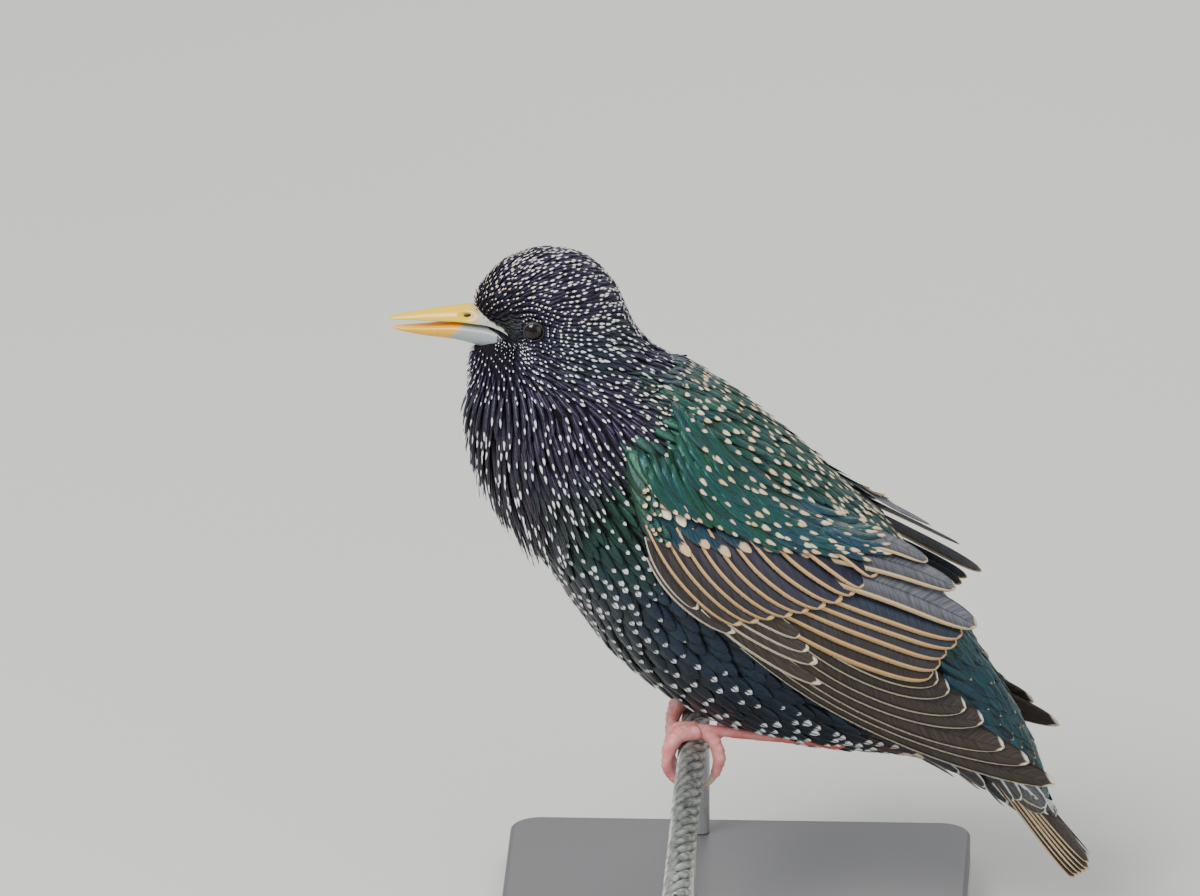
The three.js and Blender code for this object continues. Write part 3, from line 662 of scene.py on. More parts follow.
@dataclass
class Skin:
    """The bird's skin: one surface from the crown to the tail's root, a coat's depth inside the solids.

    rows and sides are the grid's size; the grid follows the body form, drawn in round the eyes and the bill.
    wedge_x, wedge_z and wedge_high place the narrowing at the bill's root, and the gape's fields the hollow
    for the mouth.
    """

    rows: int = 190
    sides: int = 112
    socket_depth: float = 2.0
    socket_radius: float = 4.2
    gape_depth: float = 5.2
    gape_z: float = 107.8
    gape_high: float = 4.6
    gape_wide: float = 5.5
    wedge: tuple[float, float, float] = (3.4, 0.5, 0.022)
    wedge_x: float = -52.0
    wedge_z: float = 107.5
    wedge_high: float = 7.5

    def points(self, t: Array, angle: Array) -> Array:
        """Returns skin points: the body form less the coat's depth, with the face drawn in.

        The sockets are bell-shaped hollows of exp(-distance squared). Level with the bill the half width is
        kept under wedge[0] + wedge[1] d + wedge[2] d squared, with d the distance behind the bill's root.
        """
        p = BODY.point(t, angle, -COAT_DEPTH)
        for side in (-1.0, 1.0):
            spot = EYE_SPOT * np.array([1, side, 1])
            near = np.exp(-(((p - spot) * np.array([1, 0.6, 1])) ** 2).sum(-1) / self.socket_radius ** 2)
            p[..., 1] -= side * self.socket_depth * near
        d = p[..., 0] - self.wedge_x
        limit = np.maximum(self.wedge[0] + self.wedge[1] * d + self.wedge[2] * d * np.abs(d), 0.8)
        level = np.exp(-((p[..., 2] - self.wedge_z) / self.wedge_high) ** 2)
        level = level * smoothstep(-36.0, -44.0, p[..., 0])
        narrow = np.sign(p[..., 1]) * np.minimum(np.abs(p[..., 1]), limit)
        p[..., 1] += (narrow - p[..., 1]) * level
        mouth = np.exp(-((p[..., 2] - self.gape_z) / self.gape_high) ** 2)
        mouth = mouth * np.exp(-(p[..., 1] / self.gape_wide) ** 2)
        p[..., 0] += self.gape_depth * mouth * smoothstep(-50.0, -56.0, p[..., 0])
        return p

    def grid(self) -> Array:
        """Returns the whole grid of points."""
        t, angle = np.meshgrid(np.linspace(0, 1, self.rows), full_turn(self.sides), indexing="ij")
        return self.points(t, angle)

    def build(self) -> bpy.types.Object:
        """Builds the skin, with its own unwrap from the grid."""
        surface = grid_surface(self.grid())
        surface.bake = surface.uv * BAKE_SCALE + BAKE_MARGIN
        return surface.build("skin")

    def tree(self) -> BVHTree:
        """Returns a search tree over the skin, in millimetres."""
        surface = grid_surface(self.grid())
        flip = surface.volume() < 0
        faces = surface.polygons[0][:, ::-1] if flip else surface.polygons[0]
        return BVHTree.FromPolygons(surface.verts.tolist(), faces.tolist())


# Plumage


@dataclass
class Plume:
    """The shape of a batch of feathers, each an array with one value a feather, or one value for all.

    inner is how much wider the inner web is than the outer one.
    """

    length: Array
    width: Array
    lift_root: Array | float = -0.5
    lift_tip: Array | float = 1.2
    pointed: Array | float = 2.4
    crown: float = 0.16
    thick: float = 0.22
    curl: Array | float = 0.0
    inner: float = 1.0


def column(value: Array | float, count: int) -> Array:
    """Returns a value for each feather as a column."""
    return np.broadcast_to(np.asarray(value, float).reshape(-1, 1), (count, 1))


def feather_surface(spine: Array, side: Array, out: Array, plume: Plume, across: int = 3,
                    taper_root: float = 0.45) -> Surface:
    """Builds closed feather vanes from their midlines.

    At the share s of its length a vane's half width is width/2 (root + (1 - root) sin(pi/2 min(1, 2.2 s)))
    (1 - s^p)^0.5, where p sets how pointed it is. Across, it bulges by crown times its half width times
    1 - u squared, with a thickness that falls to nothing at the edges.

    Args:
        spine: Midlines, feathers x stations x 3.
        side: Unit directions across each vane, same shape.
        out: Unit directions off its face, same shape.
        plume: Sizes of the batch.
        across: Points across the top of a vane, odd.
        taper_root: Width at the root, as a share of the full width.

    Returns:
        The joined surface with its Vane uv; one closed body a feather.
    """
    count, stations = spine.shape[:2]
    s = to_tip(stations)[None, :]
    grow = taper_root + (1 - taper_root) * np.sin(np.pi / 2 * np.minimum(1, 2.2 * s))
    shape = np.sqrt(np.maximum(1 - s ** column(plume.pointed, count), 0.0004))
    half = 0.5 * column(plume.width, count) * grow * shape
    u = np.linspace(-1, 1, across)
    ring_u = np.concatenate([u, u[-2:0:-1]])
    level = np.where(np.arange(len(ring_u)) < across, 1.0, -1.0) * (1 - ring_u ** 2)
    bulge = plume.crown * half[..., None] * (1 - ring_u ** 2)
    rise = bulge + 0.5 * plume.thick * level * (1 - 0.6 * s[..., None])
    reach = ring_u * np.where(ring_u < 0, plume.inner, 1.0)
    points = (spine[:, :, None] + side[:, :, None] * (half[..., None] * reach)[..., None]
              + out[:, :, None] * rise[..., None])
    ring = len(ring_u)
    uv = np.stack(np.broadcast_arrays((ring_u + 1) / 2, s[..., None]), -1)
    uv = np.broadcast_to(uv, (count, stations, ring, 2)).reshape(-1, 2)
    return Surface(points.reshape(-1, 3), tube_faces(count, stations, ring), uv)


def add_attributes(surface: Surface, count: int, bake_spot: Array | None, tint: Array, mark: Array,
                   form: Array) -> Surface:
    """Gives each feather's points its colours and its place on the OFBake map.

    Args:
        surface: Feathers made by feather_surface.
        count: Number of feathers.
        bake_spot: Place of each root on the skin's unwrap, or None for large feathers, which get strips.
        tint: Ground colour of each feather.
        mark: Spot colour and length of each feather.
        form: Notch, fringe, edge and both sides of each feather.

    Returns:
        The same surface.
    """
    each = len(surface.verts) // count
    if bake_spot is None:
        strip = np.repeat(np.arange(count), each)[:, None]
        surface.bake = np.hstack([strip + 0.05 + 0.9 * surface.uv[:, :1], surface.uv[:, 1:]])
    else:
        spot = np.repeat(np.clip(bake_spot, 0.004, 0.994), each, axis=0)
        surface.bake = spot + (surface.uv - 0.5) * BAKE_PATCH
    surface.colours = {
        "tint": np.repeat(np.hstack([tint, np.ones((count, 1))]), each, axis=0),
        "mark": np.repeat(mark, each, axis=0),
        "form": np.repeat(form, each, axis=0),
    }
    return surface


def in_strips(parts: list[Surface]) -> Surface:
    """Joins batches of large feathers and shares the OFBake map out among their strips."""
    joined, shift = None, 0.0
    for part in parts:
        count = math.floor(part.bake[:, 0].max()) + 1
        part.bake[:, 0] += shift
        shift += count
        joined = part if joined is None else joined.join(part)
    joined.bake = joined.bake * [1 / shift, BAKE_SCALE] + [0, BAKE_MARGIN]
    return joined


@dataclass
class Roots:
    """Where feathers grow: places on the body form and what is known of each."""

    t: Array
    angle: Array
    point: Array

    def keep(self, mask: Array) -> "Roots":
        """Returns only the roots that the mask keeps."""
        return Roots(self.t[mask], self.angle[mask], self.point[mask])

    @property
    def around(self) -> Array:
        """Angle from the back, from 0 to pi, the same on both sides."""
        return np.abs((self.angle + np.pi) % (2 * np.pi) - np.pi)


# What the folded wing covers, and its lower edge, as x, z seen from the side
WING_COVER = [(-9, 80), (-9, 67), (-3, 56), (10, 44), (23, 33), (36, 23), (50, 15), (60, 14), (58, 40),
              (44, 56), (30, 64), (16, 70), (2, 78), (-6, 82)]
WING_EDGE = np.array([(-13.0, 66.0), (-10.0, 57.0), (9.0, 38.0), (31.0, 21.7), (51.0, 10.0), (66.5, 3.7)])


class Coat:
    """Lays feathers on the skin in staggered rows that follow the lie of the coat."""

    def __init__(self, skin: Skin) -> None:
        """Keeps the skin, its search tree and the seeded random numbers."""
        self.skin = skin
        self.tree = skin.tree()
        self.random = np.random.default_rng(SEED)

    def staggered(self, count: int, row: int) -> Array:
        """Returns jittered angles round a ring, set off by half a step on every other row."""
        base = (np.arange(count) + 0.5 * (row % 2)) / count * 2 * np.pi
        return base + self.random.normal(0, 0.10, count) * 2 * np.pi / count

    def body_rows(self, start: float, end: float, spacing: Callable[[float], tuple[float, float]]) -> Roots:
        """Returns roots in staggered rings along the body form.

        Args:
            start: First place along the form.
            end: Last place along the form.
            spacing: Gives the step along the body and across it at a place.

        Returns:
            The roots, with their places jittered a little.
        """
        t, t_list, a_list, row = start, [], [], 0
        while t < end:
            along, across = spacing(t)
            f = BODY.frame(np.array([t]))
            deep, wide = float(f["deep"][0]), float(f["wide"][0])
            around = np.pi * (3 * (deep + wide) - math.sqrt((3 * deep + wide) * (deep + 3 * wide)))
            n = max(6, round(around / across))
            a_list.append(self.staggered(n, row))
            step = np.linalg.norm(catmull(BODY_SECTIONS, np.array([t + 0.002]))[0, :2]
                                  - catmull(BODY_SECTIONS, np.array([t]))[0, :2]) / 0.002
            t_list.append(t + self.random.normal(0, 0.14, n) * along / step)
            t += along / step
            row += 1
        t_all, a_all = np.clip(np.concatenate(t_list), 0.001, 0.999), np.concatenate(a_list)
        return Roots(t_all, a_all, self.skin.points(t_all, a_all))

    def face_rings(self, along: float, across: float, limit_deg: float) -> Roots:
        """Returns roots in staggered rings round the bill, spreading back over the head.

        A ring at the angle q from the bill's direction is cast from outside the head onto the skin.

        Args:
            along: Step from ring to ring, in millimetres.
            across: Step along a ring.
            limit_deg: Largest angle from the bill's direction.

        Returns:
            The roots, with their places on the body form found from the skin.
        """
        rays, q, row = [], 0.17, 0
        while q < math.radians(limit_deg):
            scale = 0.62 + 0.38 * min(1.0, q / 1.0)
            n = max(8, round(2 * np.pi * HEAD_RADIUS * math.sin(q) / (across * scale)))
            phi = self.staggered(n, row)
            tilt = q + self.random.normal(0, 0.12, n) * along / HEAD_RADIUS
            rays.append(np.stack([-np.cos(tilt), np.sin(tilt) * np.sin(phi), np.sin(tilt) * np.cos(phi)], -1))
            q += along * scale / HEAD_RADIUS
            row += 1
        hits = []
        for ray in np.concatenate(rays):
            start = HEAD_CENTRE + ray * 60
            place = self.tree.ray_cast(Vector(start), Vector(-ray))[0]
            if place is not None:
                hits.append(place[:])
        point = np.array(hits)
        return Roots(*self.locate(point), point)

    def locate(self, point: Array) -> tuple[Array, Array]:
        """Returns the place and angle on the body form nearest to skin points."""
        offset = point[:, None] - BODY.table["centre"][None]
        off_plane = np.abs(np.einsum("nij,ij->ni", offset, BODY.table["along"]))
        depth = np.einsum("nij,ij->ni", offset, BODY.table["back"])
        ring = np.hypot(depth / BODY.table["deep"], offset[..., 1] / BODY.table["wide"])
        best = np.argmin(off_plane + 8.0 * np.abs(ring - 0.93), axis=1)
        rows = np.arange(len(point))
        angle = np.arctan2(offset[rows, best, 1] / BODY.table["wide"][best],
                           depth[rows, best] / BODY.table["deep"][best])
        return BODY.fine[best], angle

    def lie(self, roots: Roots) -> Array:
        """Returns the lie of the coat: away from the bill on the head, along the spine on the body."""
        f = BODY.frame(roots.t)
        from_bill = unit(roots.point - BILL_ROOT)
        share = smoothstep(92.0, 100.0, roots.point[:, 2] + 0.25 * (roots.point[:, 0] + 36))[:, None]
        return unit(share * from_bill + (1 - share) * f["along"])

    def lay(self, name: str, roots: Roots, plume: Plume, tint: Array, mark: Array, form: Array,
            stations: int, across: int = 3) -> bpy.types.Object:
        """Lays a batch of feathers that hug the skin from root to tip.

        Each midline takes the skin point nearest to root + lie x length x s, raised from lift_root to
        lift_tip along the skin's normal.

        Args:
            name: Name of the piece.
            roots: Where the feathers grow.
            plume: Their sizes.
            tint: Ground colours.
            mark: Spot colours and lengths.
            form: Notch, fringe and edge values.
            stations: Places along a feather.
            across: Points across a feather.

        Returns:
            The feathers as one object.
        """
        count = len(roots.t)
        lie = self.lie(roots)
        lie = unit(lie + self.random.normal(0, 0.045, lie.shape))
        s = to_tip(stations)
        length = column(plume.length, count)
        normal0 = self.normals(roots.point)
        lie = unit(lie - normal0 * np.einsum("ij,ij->i", lie, normal0)[:, None])
        target = roots.point[:, None] + lie[:, None] * (length * s)[..., None]
        flat = target.reshape(-1, 3)
        found = [self.tree.find_nearest(Vector(p))[:2] for p in flat]
        place = np.array([f[0][:] for f in found]).reshape(target.shape)
        out = np.array([f[1][:] for f in found]).reshape(target.shape)
        out[:, 1:] = unit(0.6 * out[:, 1:] + 0.4 * out[:, :-1])
        rise = column(plume.lift_root, count) * (1 - s) + column(plume.lift_tip, count) * s
        rise = rise + column(plume.curl, count) * s ** 3
        spine = place + out * rise[..., None]
        along = unit(np.gradient(spine, axis=1))
        side = unit(np.cross(out, along))
        out = unit(np.cross(along, side))
        surface = feather_surface(spine, side, out, plume, across)
        spot = np.stack([(roots.angle / (2 * np.pi)) % 1.0, roots.t], -1)
        return add_attributes(surface, count, spot, tint, mark, form).build(name)

    def normals(self, points: Array) -> Array:
        """Returns the skin's normals nearest to the points."""
        return np.array([self.tree.find_nearest(Vector(p))[1][:] for p in points])


PURPLE = np.array([0.030, 0.016, 0.055])
INK = np.array([0.012, 0.014, 0.024])
GREEN = np.array([0.008, 0.090, 0.058])
TEAL = np.array([0.010, 0.050, 0.075])
BLUE = np.array([0.014, 0.028, 0.085])
NAVY = np.array([0.010, 0.022, 0.050])
BROWN = np.array([0.074, 0.056, 0.045])
BUFF = np.array([0.66, 0.46, 0.27])
CREAM = np.array([0.84, 0.75, 0.57])
WHITE = np.array([0.86, 0.88, 0.92])
OCHRE = np.array([0.60, 0.33, 0.10])


def blend(a: Array, b: Array, share: Array) -> Array:
    """Returns rows of colours between a and b by the share in each row."""
    share = np.clip(share, 0, 1)[:, None]
    return a * (1 - share) + b * share


def edge_distance(x: Array, z: Array) -> Array:
    """Returns the least distance from points to the wing's lower edge, seen from the side."""
    a, b = WING_EDGE[:-1], WING_EDGE[1:]
    spot = np.stack([x, z], -1)[:, None]
    share = np.clip(((spot - a) * (b - a)).sum(-1) / ((b - a) ** 2).sum(-1), 0, 1)
    return np.linalg.norm(spot - a - (b - a) * share[..., None], axis=-1).min(1)


@dataclass
class Plumage:
    """The body coat: head, throat, breast, belly, mantle, rump and tail coverts."""

    coat: Coat
    small: bpy.types.Material
    contour: bpy.types.Material

    def head_plane(self, p: Array) -> Array:
        """Returns the height of points over the plane that parts the head's feathers from the neck's."""
        return p[:, 2] - (97.0 + 0.16 * (p[:, 0] + 36))

    def varied(self, tint: Array, amount: float = 0.25) -> Array:
        """Returns the tints made a little lighter or darker one by one."""
        return tint * (1 + self.coat.random.uniform(-amount, amount, (len(tint), 1)))

    def spread(self, count: int, low: float, high: float) -> Array:
        """Returns one random number a feather."""
        return self.coat.random.uniform(low, high, count)

    def at_bill(self, p: Array) -> Array:
        """Tells which points lie on the bill's own ground: its root, its gape and its lower half."""
        gape = np.interp(p[:, 0], [-54.5, -51, -48.5, -46], [109.8, 109.4, 108.3, 106.8])
        above = (p[:, 0] < -54.3) & (p[:, 2] > 107) & (p[:, 2] < 113.2) & (np.abs(p[:, 1]) < 6)
        strip = (p[:, 0] < -45.6) & (np.abs(p[:, 2] - gape) < 0.9)
        chin = np.interp(p[:, 0], [-56, -51], [104.0, 102.9])
        below = (p[:, 0] < -50.4) & (p[:, 2] > chin) & (p[:, 2] < 108.5)
        return above | strip | below

    def head(self) -> bpy.types.Object:
        """Builds the small lance-shaped feathers of the head, each with a pale dash at its tip."""
        roots = self.coat.face_rings(along=1.45, across=1.15, limit_deg=172)
        p = roots.point
        eye = np.hypot(p[:, 0] - EYE_SPOT[0], (p[:, 2] - EYE_SPOT[2]) * 1.06)
        eye[np.abs(p[:, 1]) < 6] = 99
        roots = roots.keep((self.head_plane(p) > -1.0) & (eye > 2.85) & ~self.at_bill(p))
        p = roots.point
        far = np.linalg.norm(p - BILL_ROOT, axis=1)
        length = np.interp(far, [3, 10, 20, 32, 45], [2.0, 2.9, 4.8, 6.6, 8.4])
        # Feathers ahead of the eye stop short of it
        to_eye = EYE_SPOT[[0, 2]] - p[:, [0, 2]]
        eye = np.linalg.norm(to_eye, axis=1)
        lie = self.coat.lie(roots)[:, [0, 2]]
        ahead = (np.einsum("ij,ij->i", to_eye, lie) > 0.55 * eye) & (np.abs(p[:, 1]) > 6)
        length = np.where(ahead, np.minimum(length, np.maximum(eye - 2.6, 0.9)), length)
        # Close to the eye, the bill and the chin they are short, so that the flecks begin at once
        length = np.minimum(length, np.where(np.abs(p[:, 1]) > 6, 1.3 + 0.55 * np.maximum(eye - 2.85, 0), 99))
        length = np.minimum(length, np.where(p[:, 0] < -45, 1.2 + 0.45 * np.abs(p[:, 2] - 104), 99))
        width = np.interp(far, [3, 10, 20, 32, 45], [0.75, 0.95, 1.3, 1.6, 2.1])
        throat = smoothstep(104, 98, p[:, 2]) * smoothstep(-30, -45, p[:, 0])
        lore = np.exp(-(((p - [-47.5, 0, 110.3]) / [6.0, 40, 3.6]) ** 2).sum(1))
        gray = np.exp(-(((p - [-45.5, 0, 111.0]) / [2.4, 40, 1.5]) ** 2).sum(1))
        cheek = np.exp(-(((p - [-27, 0, 105]) / [9, 40, 8]) ** 2).sum(1))
        brow = np.exp(-(((p - [-53, 0, 117]) / [8, 40, 6]) ** 2).sum(1))
        tint = blend(PURPLE, TEAL * 0.7, cheek * 0.7)
        tint = blend(blend(tint, INK * 0.6, lore), np.array([0.09, 0.10, 0.12]), gray * 0.8)
        colour = blend(WHITE, CREAM, brow + smoothstep(104, 118, p[:, 2]) * 0.4)
        dash = np.interp(far, [4, 14, 30, 45], [0.29, 0.24, 0.195, 0.15]) * (1 - 0.9 * lore) + 0.05 * cheek
        dash *= self.spread(len(dash), 0.65, 1.3)
        dash[self.spread(len(dash), 0, 1) < 0.15] = 0.0
        dash[lore > 0.40] = 0.0
        form = np.tile([0.0, 0.2, 0.0, 0.0], (len(p), 1))
        root = -0.4 + 0.5 * smoothstep(7, 3, eye)
        plume = Plume(length, width, root, 0.85 + 0.6 * throat, 1.35, 0.25, 0.16)
        mark = np.hstack([colour, dash[:, None]])
        piece = self.coat.lay("head_feathers", roots, plume, self.varied(tint), mark, form, 5)
        return dress(piece, self.small, "plumage")

    def hackles(self) -> bpy.types.Object:
        """Builds the long narrow hackles of the throat and the neck."""
        roots = self.coat.body_rows(0.20, 0.44, lambda t: (1.95, 1.85))
        p, f = roots.point, roots.around
        hem = np.interp(f, [0.6, 1.6, 2.4], [88, 77, 61])
        roots = roots.keep((self.head_plane(p) < 1.5) & (f > 0.62) & (p[:, 2] > hem))
        p, f = roots.point, roots.around
        down = smoothstep(98, 66, p[:, 2])
        front = smoothstep(1.2, 2.4, f)
        length = (6.5 + 3.5 * front + 4.5 * down * front) * self.spread(len(p), 0.85, 1.15)
        width = 1.75 + 0.7 * down
        tint = blend(PURPLE, GREEN * 0.8, smoothstep(1.1, 0.5, f) * 0.8)
        tint = blend(tint, INK * 1.2, 0.5 * front)
        tint = blend(tint, GREEN * 0.55, smoothstep(84, 68, p[:, 2]) * smoothstep(2.6, 1.6, f) * 0.8)
        colour = blend(CREAM, WHITE, smoothstep(0.6, 1.3, f))
        dash = (0.19 - 0.05 * down) * self.spread(len(p), 0.7, 1.3)
        dash[self.spread(len(p), 0, 1) < 0.18] = 0.0
        form = np.tile([0.0, 0.3, 0.0, 0.0], (len(p), 1))
        form[:, 1] += 0.55 * down * front
        lift = (1.2 + 1.5 * front) * self.spread(len(p), 0.8, 1.25)
        plume = Plume(length, width, -0.5, lift, 1.5, 0.3, 0.2, 1.3 * front * down)
        mark = np.hstack([colour, dash[:, None]])
        piece = self.coat.lay("throat_hackles", roots, plume, self.varied(tint), mark, form, 7)
        return dress(piece, self.small, "plumage")

    def under(self) -> bpy.types.Object:
        """Builds the breast, belly and flank feathers with their two-lobed white spots."""
        roots = self.coat.body_rows(0.38, 0.93, lambda t: (4.0, 4.3) if t > 0.46 else (3.1, 3.1))
        p, f = roots.point, roots.around
        limit = np.interp(f, [0.6, 1.6, 2.4], [88, 78, 62]) + 4
        covered = inside(p[:, 0], p[:, 2], WING_COVER) & (f < 2.0)
        rump = (f < 1.6) & (p[:, 0] > 50)
        roots = roots.keep((p[:, 2] < limit) & (f > 1.05) & ~covered & (p[:, 0] < 74) & ~rump)
        p, f = roots.point, roots.around
        vent = smoothstep(36, 58, p[:, 0]) * smoothstep(1.5, 2.2, f)
        thigh = np.exp(-(((p - [47, 0, 7]) / [9, 60, 8]) ** 2).sum(1))
        chest = smoothstep(48, 72, p[:, 2])
        length = (12.5 - 2.0 * chest + 2.5 * vent) * self.spread(len(p), 0.9, 1.1)
        width = 5.8 - 2.4 * chest + 1.0 * vent
        tint = blend(INK * 0.8, NAVY * 0.8, smoothstep(1.2, 1.9, f) * smoothstep(2.8, 1.9, f))
        tint = blend(tint, GREEN * 0.6, chest * 0.8)
        tint = blend(tint, BROWN * 0.9, np.clip(0.6 * thigh + 0.3 * vent, 0, 1))
        orange = thigh * (self.spread(len(p), 0, 1) < 0.6)
        colour = blend(np.broadcast_to(WHITE, p.shape), OCHRE, orange)
        tint = blend(tint, OCHRE * 0.45, 0.7 * thigh * (self.spread(len(p), 0, 1) < 0.45))
        # A band under the wing bears no spots
        tip = p + self.coat.lie(roots) * length[:, None]
        clear = smoothstep(7.0, 10.5, edge_distance(tip[:, 0], tip[:, 2]))
        clear = np.maximum(clear, smoothstep(-2, -12, tip[:, 0]))
        bare = np.where(self.spread(len(p), 0, 1) < 0.10 + 0.14 * chest, 0.0, 1.0)
        size = np.interp(p[:, 2], [8, 22, 40, 60], [0.20, 0.155, 0.115, 0.15])
        spot = (size + 0.10 * vent + 0.08 * thigh) * self.spread(len(p), 0.75, 1.2) * clear * bare
        form = np.tile([0.0, 0.04, 0.0, 0.0], (len(p), 1))
        form[:, 0] = 0.95 * (1 - 0.6 * chest) * (1 - 0.5 * vent)
        form[:, 1] += 0.3 * thigh + 0.35 * vent
        plume = Plume(length, width, -0.9, 1.3, 3.0 - 1.3 * chest, 0.2, 0.22)
        mark = np.hstack([colour, spot[:, None]])
        piece = self.coat.lay("breast_belly_feathers", roots, plume, self.varied(tint), mark, form, 7, 5)
        return dress(piece, self.contour, "plumage")

    def back(self) -> bpy.types.Object:
        """Builds the nape, mantle and rump feathers: green gloss with buff tips."""
        roots = self.coat.body_rows(0.245, 0.92, lambda t: (3.3, 2.9))
        p, f = roots.point, roots.around
        covered = inside(p[:, 0], p[:, 2], WING_COVER) & (f > 0.80)
        low = np.interp(f, [0.3, 0.8, 1.6], [106, 93, 81])
        roots = roots.keep((f < 1.25) & (p[:, 2] < low) & (self.head_plane(p) < 2.0) & ~covered)
        p, f = roots.point, roots.around
        rump = smoothstep(46, 60, p[:, 0])
        nape = smoothstep(94, 103, p[:, 2])
        wing_top = np.interp(p[:, 0], [-10, 0, 14, 25, 36, 46], [88, 84, 78, 72, 66, 60.5])
        near_wing = np.exp(-((p[:, 2] - wing_top - 3) / 5.5) ** 2) * smoothstep(0.2, 0.5, f)
        length = np.interp(p[:, 0], [-20, 10, 45, 60, 80], [9, 12, 14, 14, 13])
        length = length * self.spread(len(p), 0.9, 1.1)
        width = 3.6 - 1.3 * nape + 1.4 * rump
        tint = blend(GREEN, TEAL, self.spread(len(p), 0, 0.6) + 0.4 * rump)
        tint = blend(tint, BLUE, self.spread(len(p), 0, 0.25) + 0.25 * smoothstep(15, 45, p[:, 0]))
        tint = blend(tint, PURPLE, 0.7 * nape)
        colour = blend(CREAM, BUFF, self.spread(len(p), 0, 1) * smoothstep(-20, 0, p[:, 0]))
        spot = (0.175 - 0.12 * rump) * self.spread(len(p), 0.7, 1.25)
        spot[self.spread(len(p), 0, 1) < 0.15 + 0.6 * rump] = 0.0
        form = np.tile([0.0, 0.22, 0.0, 0.0], (len(p), 1))
        lift = (1.3 - 0.4 * nape) * self.spread(len(p), 0.85, 1.3) + 1.3 * near_wing
        lift = lift * (0.5 + 0.5 * smoothstep(2, -9, self.head_plane(p)))
        plume = Plume(length, width, -0.6, lift, 1.7 + 0.8 * rump, 0.22, 0.2)
        mark = np.hstack([colour, spot[:, None]])
        piece = self.coat.lay("mantle_feathers", roots, plume, self.varied(tint), mark, form, 7, 5)
        return dress(piece, self.contour, "plumage")

    def tail_coverts(self) -> bpy.types.Object:
        """Builds the coverts over the tail's root."""
        roots = self.coat.body_rows(0.78, 0.955, lambda t: (4.0, 3.8))
        roots = roots.keep((roots.point[:, 0] > 60) & (roots.around < 1.6))
        p = roots.point
        length = 14.5 - 4.5 * smoothstep(76, 88, p[:, 0])
        tint = self.varied(blend(TEAL * 0.7, NAVY, self.spread(len(p), 0, 1)))
        mark = np.hstack([np.tile(BUFF * 0.8, (len(p), 1)), np.zeros((len(p), 1))])
        form = np.tile([0.0, 0.3, 0.22, 1.0], (len(p), 1))
        plume = Plume(length, 4.8, -0.8, 1.4, 2.6, 0.2, 0.22)
        piece = self.coat.lay("tail_coverts", roots, plume, tint, mark, form, 7, 5)
        return dress(piece, self.contour, "plumage")

    def undertail_coverts(self) -> bpy.types.Object:
        """Builds the long coverts under the tail: dark centres with broad white edges."""
        rows = [0.74, 0.78, 0.82, 0.86, 0.90, 0.935]
        t, angle = np.meshgrid(rows, np.linspace(-1.45, 1.45, 9), indexing="ij")
        angle = np.pi + angle + 0.18 * (np.arange(len(rows)) % 2)[:, None]
        t, angle = (t + 0.004 * np.cos(7 * angle)).ravel(), angle.ravel()
        roots = Roots(t, angle, self.coat.skin.points(t, angle))
        count = len(t)
        tint = self.varied(np.tile([0.080, 0.082, 0.084], (count, 1)))
        mark = np.hstack([np.tile([0.70, 0.71, 0.69], (count, 1)), np.zeros((count, 1))])
        form = np.tile([0.0, 0.4, 1.0, 1.0], (count, 1))
        length = 17.0 - 3.0 * smoothstep(0.88, 0.94, t)
        plume = Plume(length, 6.4, -0.8, 3.0, 2.8, 0.16, 0.24)
        piece = self.coat.lay("undertail_coverts", roots, plume, tint, mark, form, 8, 5)
        return dress(piece, self.contour, "plumage")

    def build(self) -> None:
        """Builds the coat from the head to the tail."""
        for part in (self.head, self.hackles, self.under, self.back, self.undertail_coverts,
                     self.tail_coverts):
            part()


# Wings


@dataclass(frozen=True)
class Tier:
    """A tier of wing feathers, from the outermost or lowest one to the innermost.

    roots, bends and tips are rows of x, z places through which the tier runs; lift is the height over the
    wing's form at root and tip, slope how far the lower edge stands out over the next feather, and form the
    notch, fringe, edge and both-sides values of its finish.
    """

    name: str
    count: int
    roots: tuple[tuple[float, float], ...]
    bends: tuple[tuple[float, float], ...]
    tips: tuple[tuple[float, float], ...]
    widths: tuple[float, float]
    lift: tuple[float, float]
    slope: float
    pointed: float
    tint: tuple[Colour, Colour]
    mark: Colour
    spot: float = 0.0
    form: tuple[float, float, float, float] = (0.0, 0.0, 1.0, 0.0)
    wobble: float = 0.25
    stations: int = 18
    across: int = 7
    inner: float = 1.0


def tone(colour: Array | Colour, scale: float = 1.0) -> Colour:
    """Returns a palette row as a plain colour."""
    return tuple(float(c) * scale for c in colour)


SLATE = (0.045, 0.060, 0.095)
DUSK = (0.046, 0.038, 0.038)
RUST = (0.70, 0.44, 0.20)
PALE = (0.74, 0.64, 0.50)
SPOTTED = (0.0, 0.15, 0.0, 0.0)

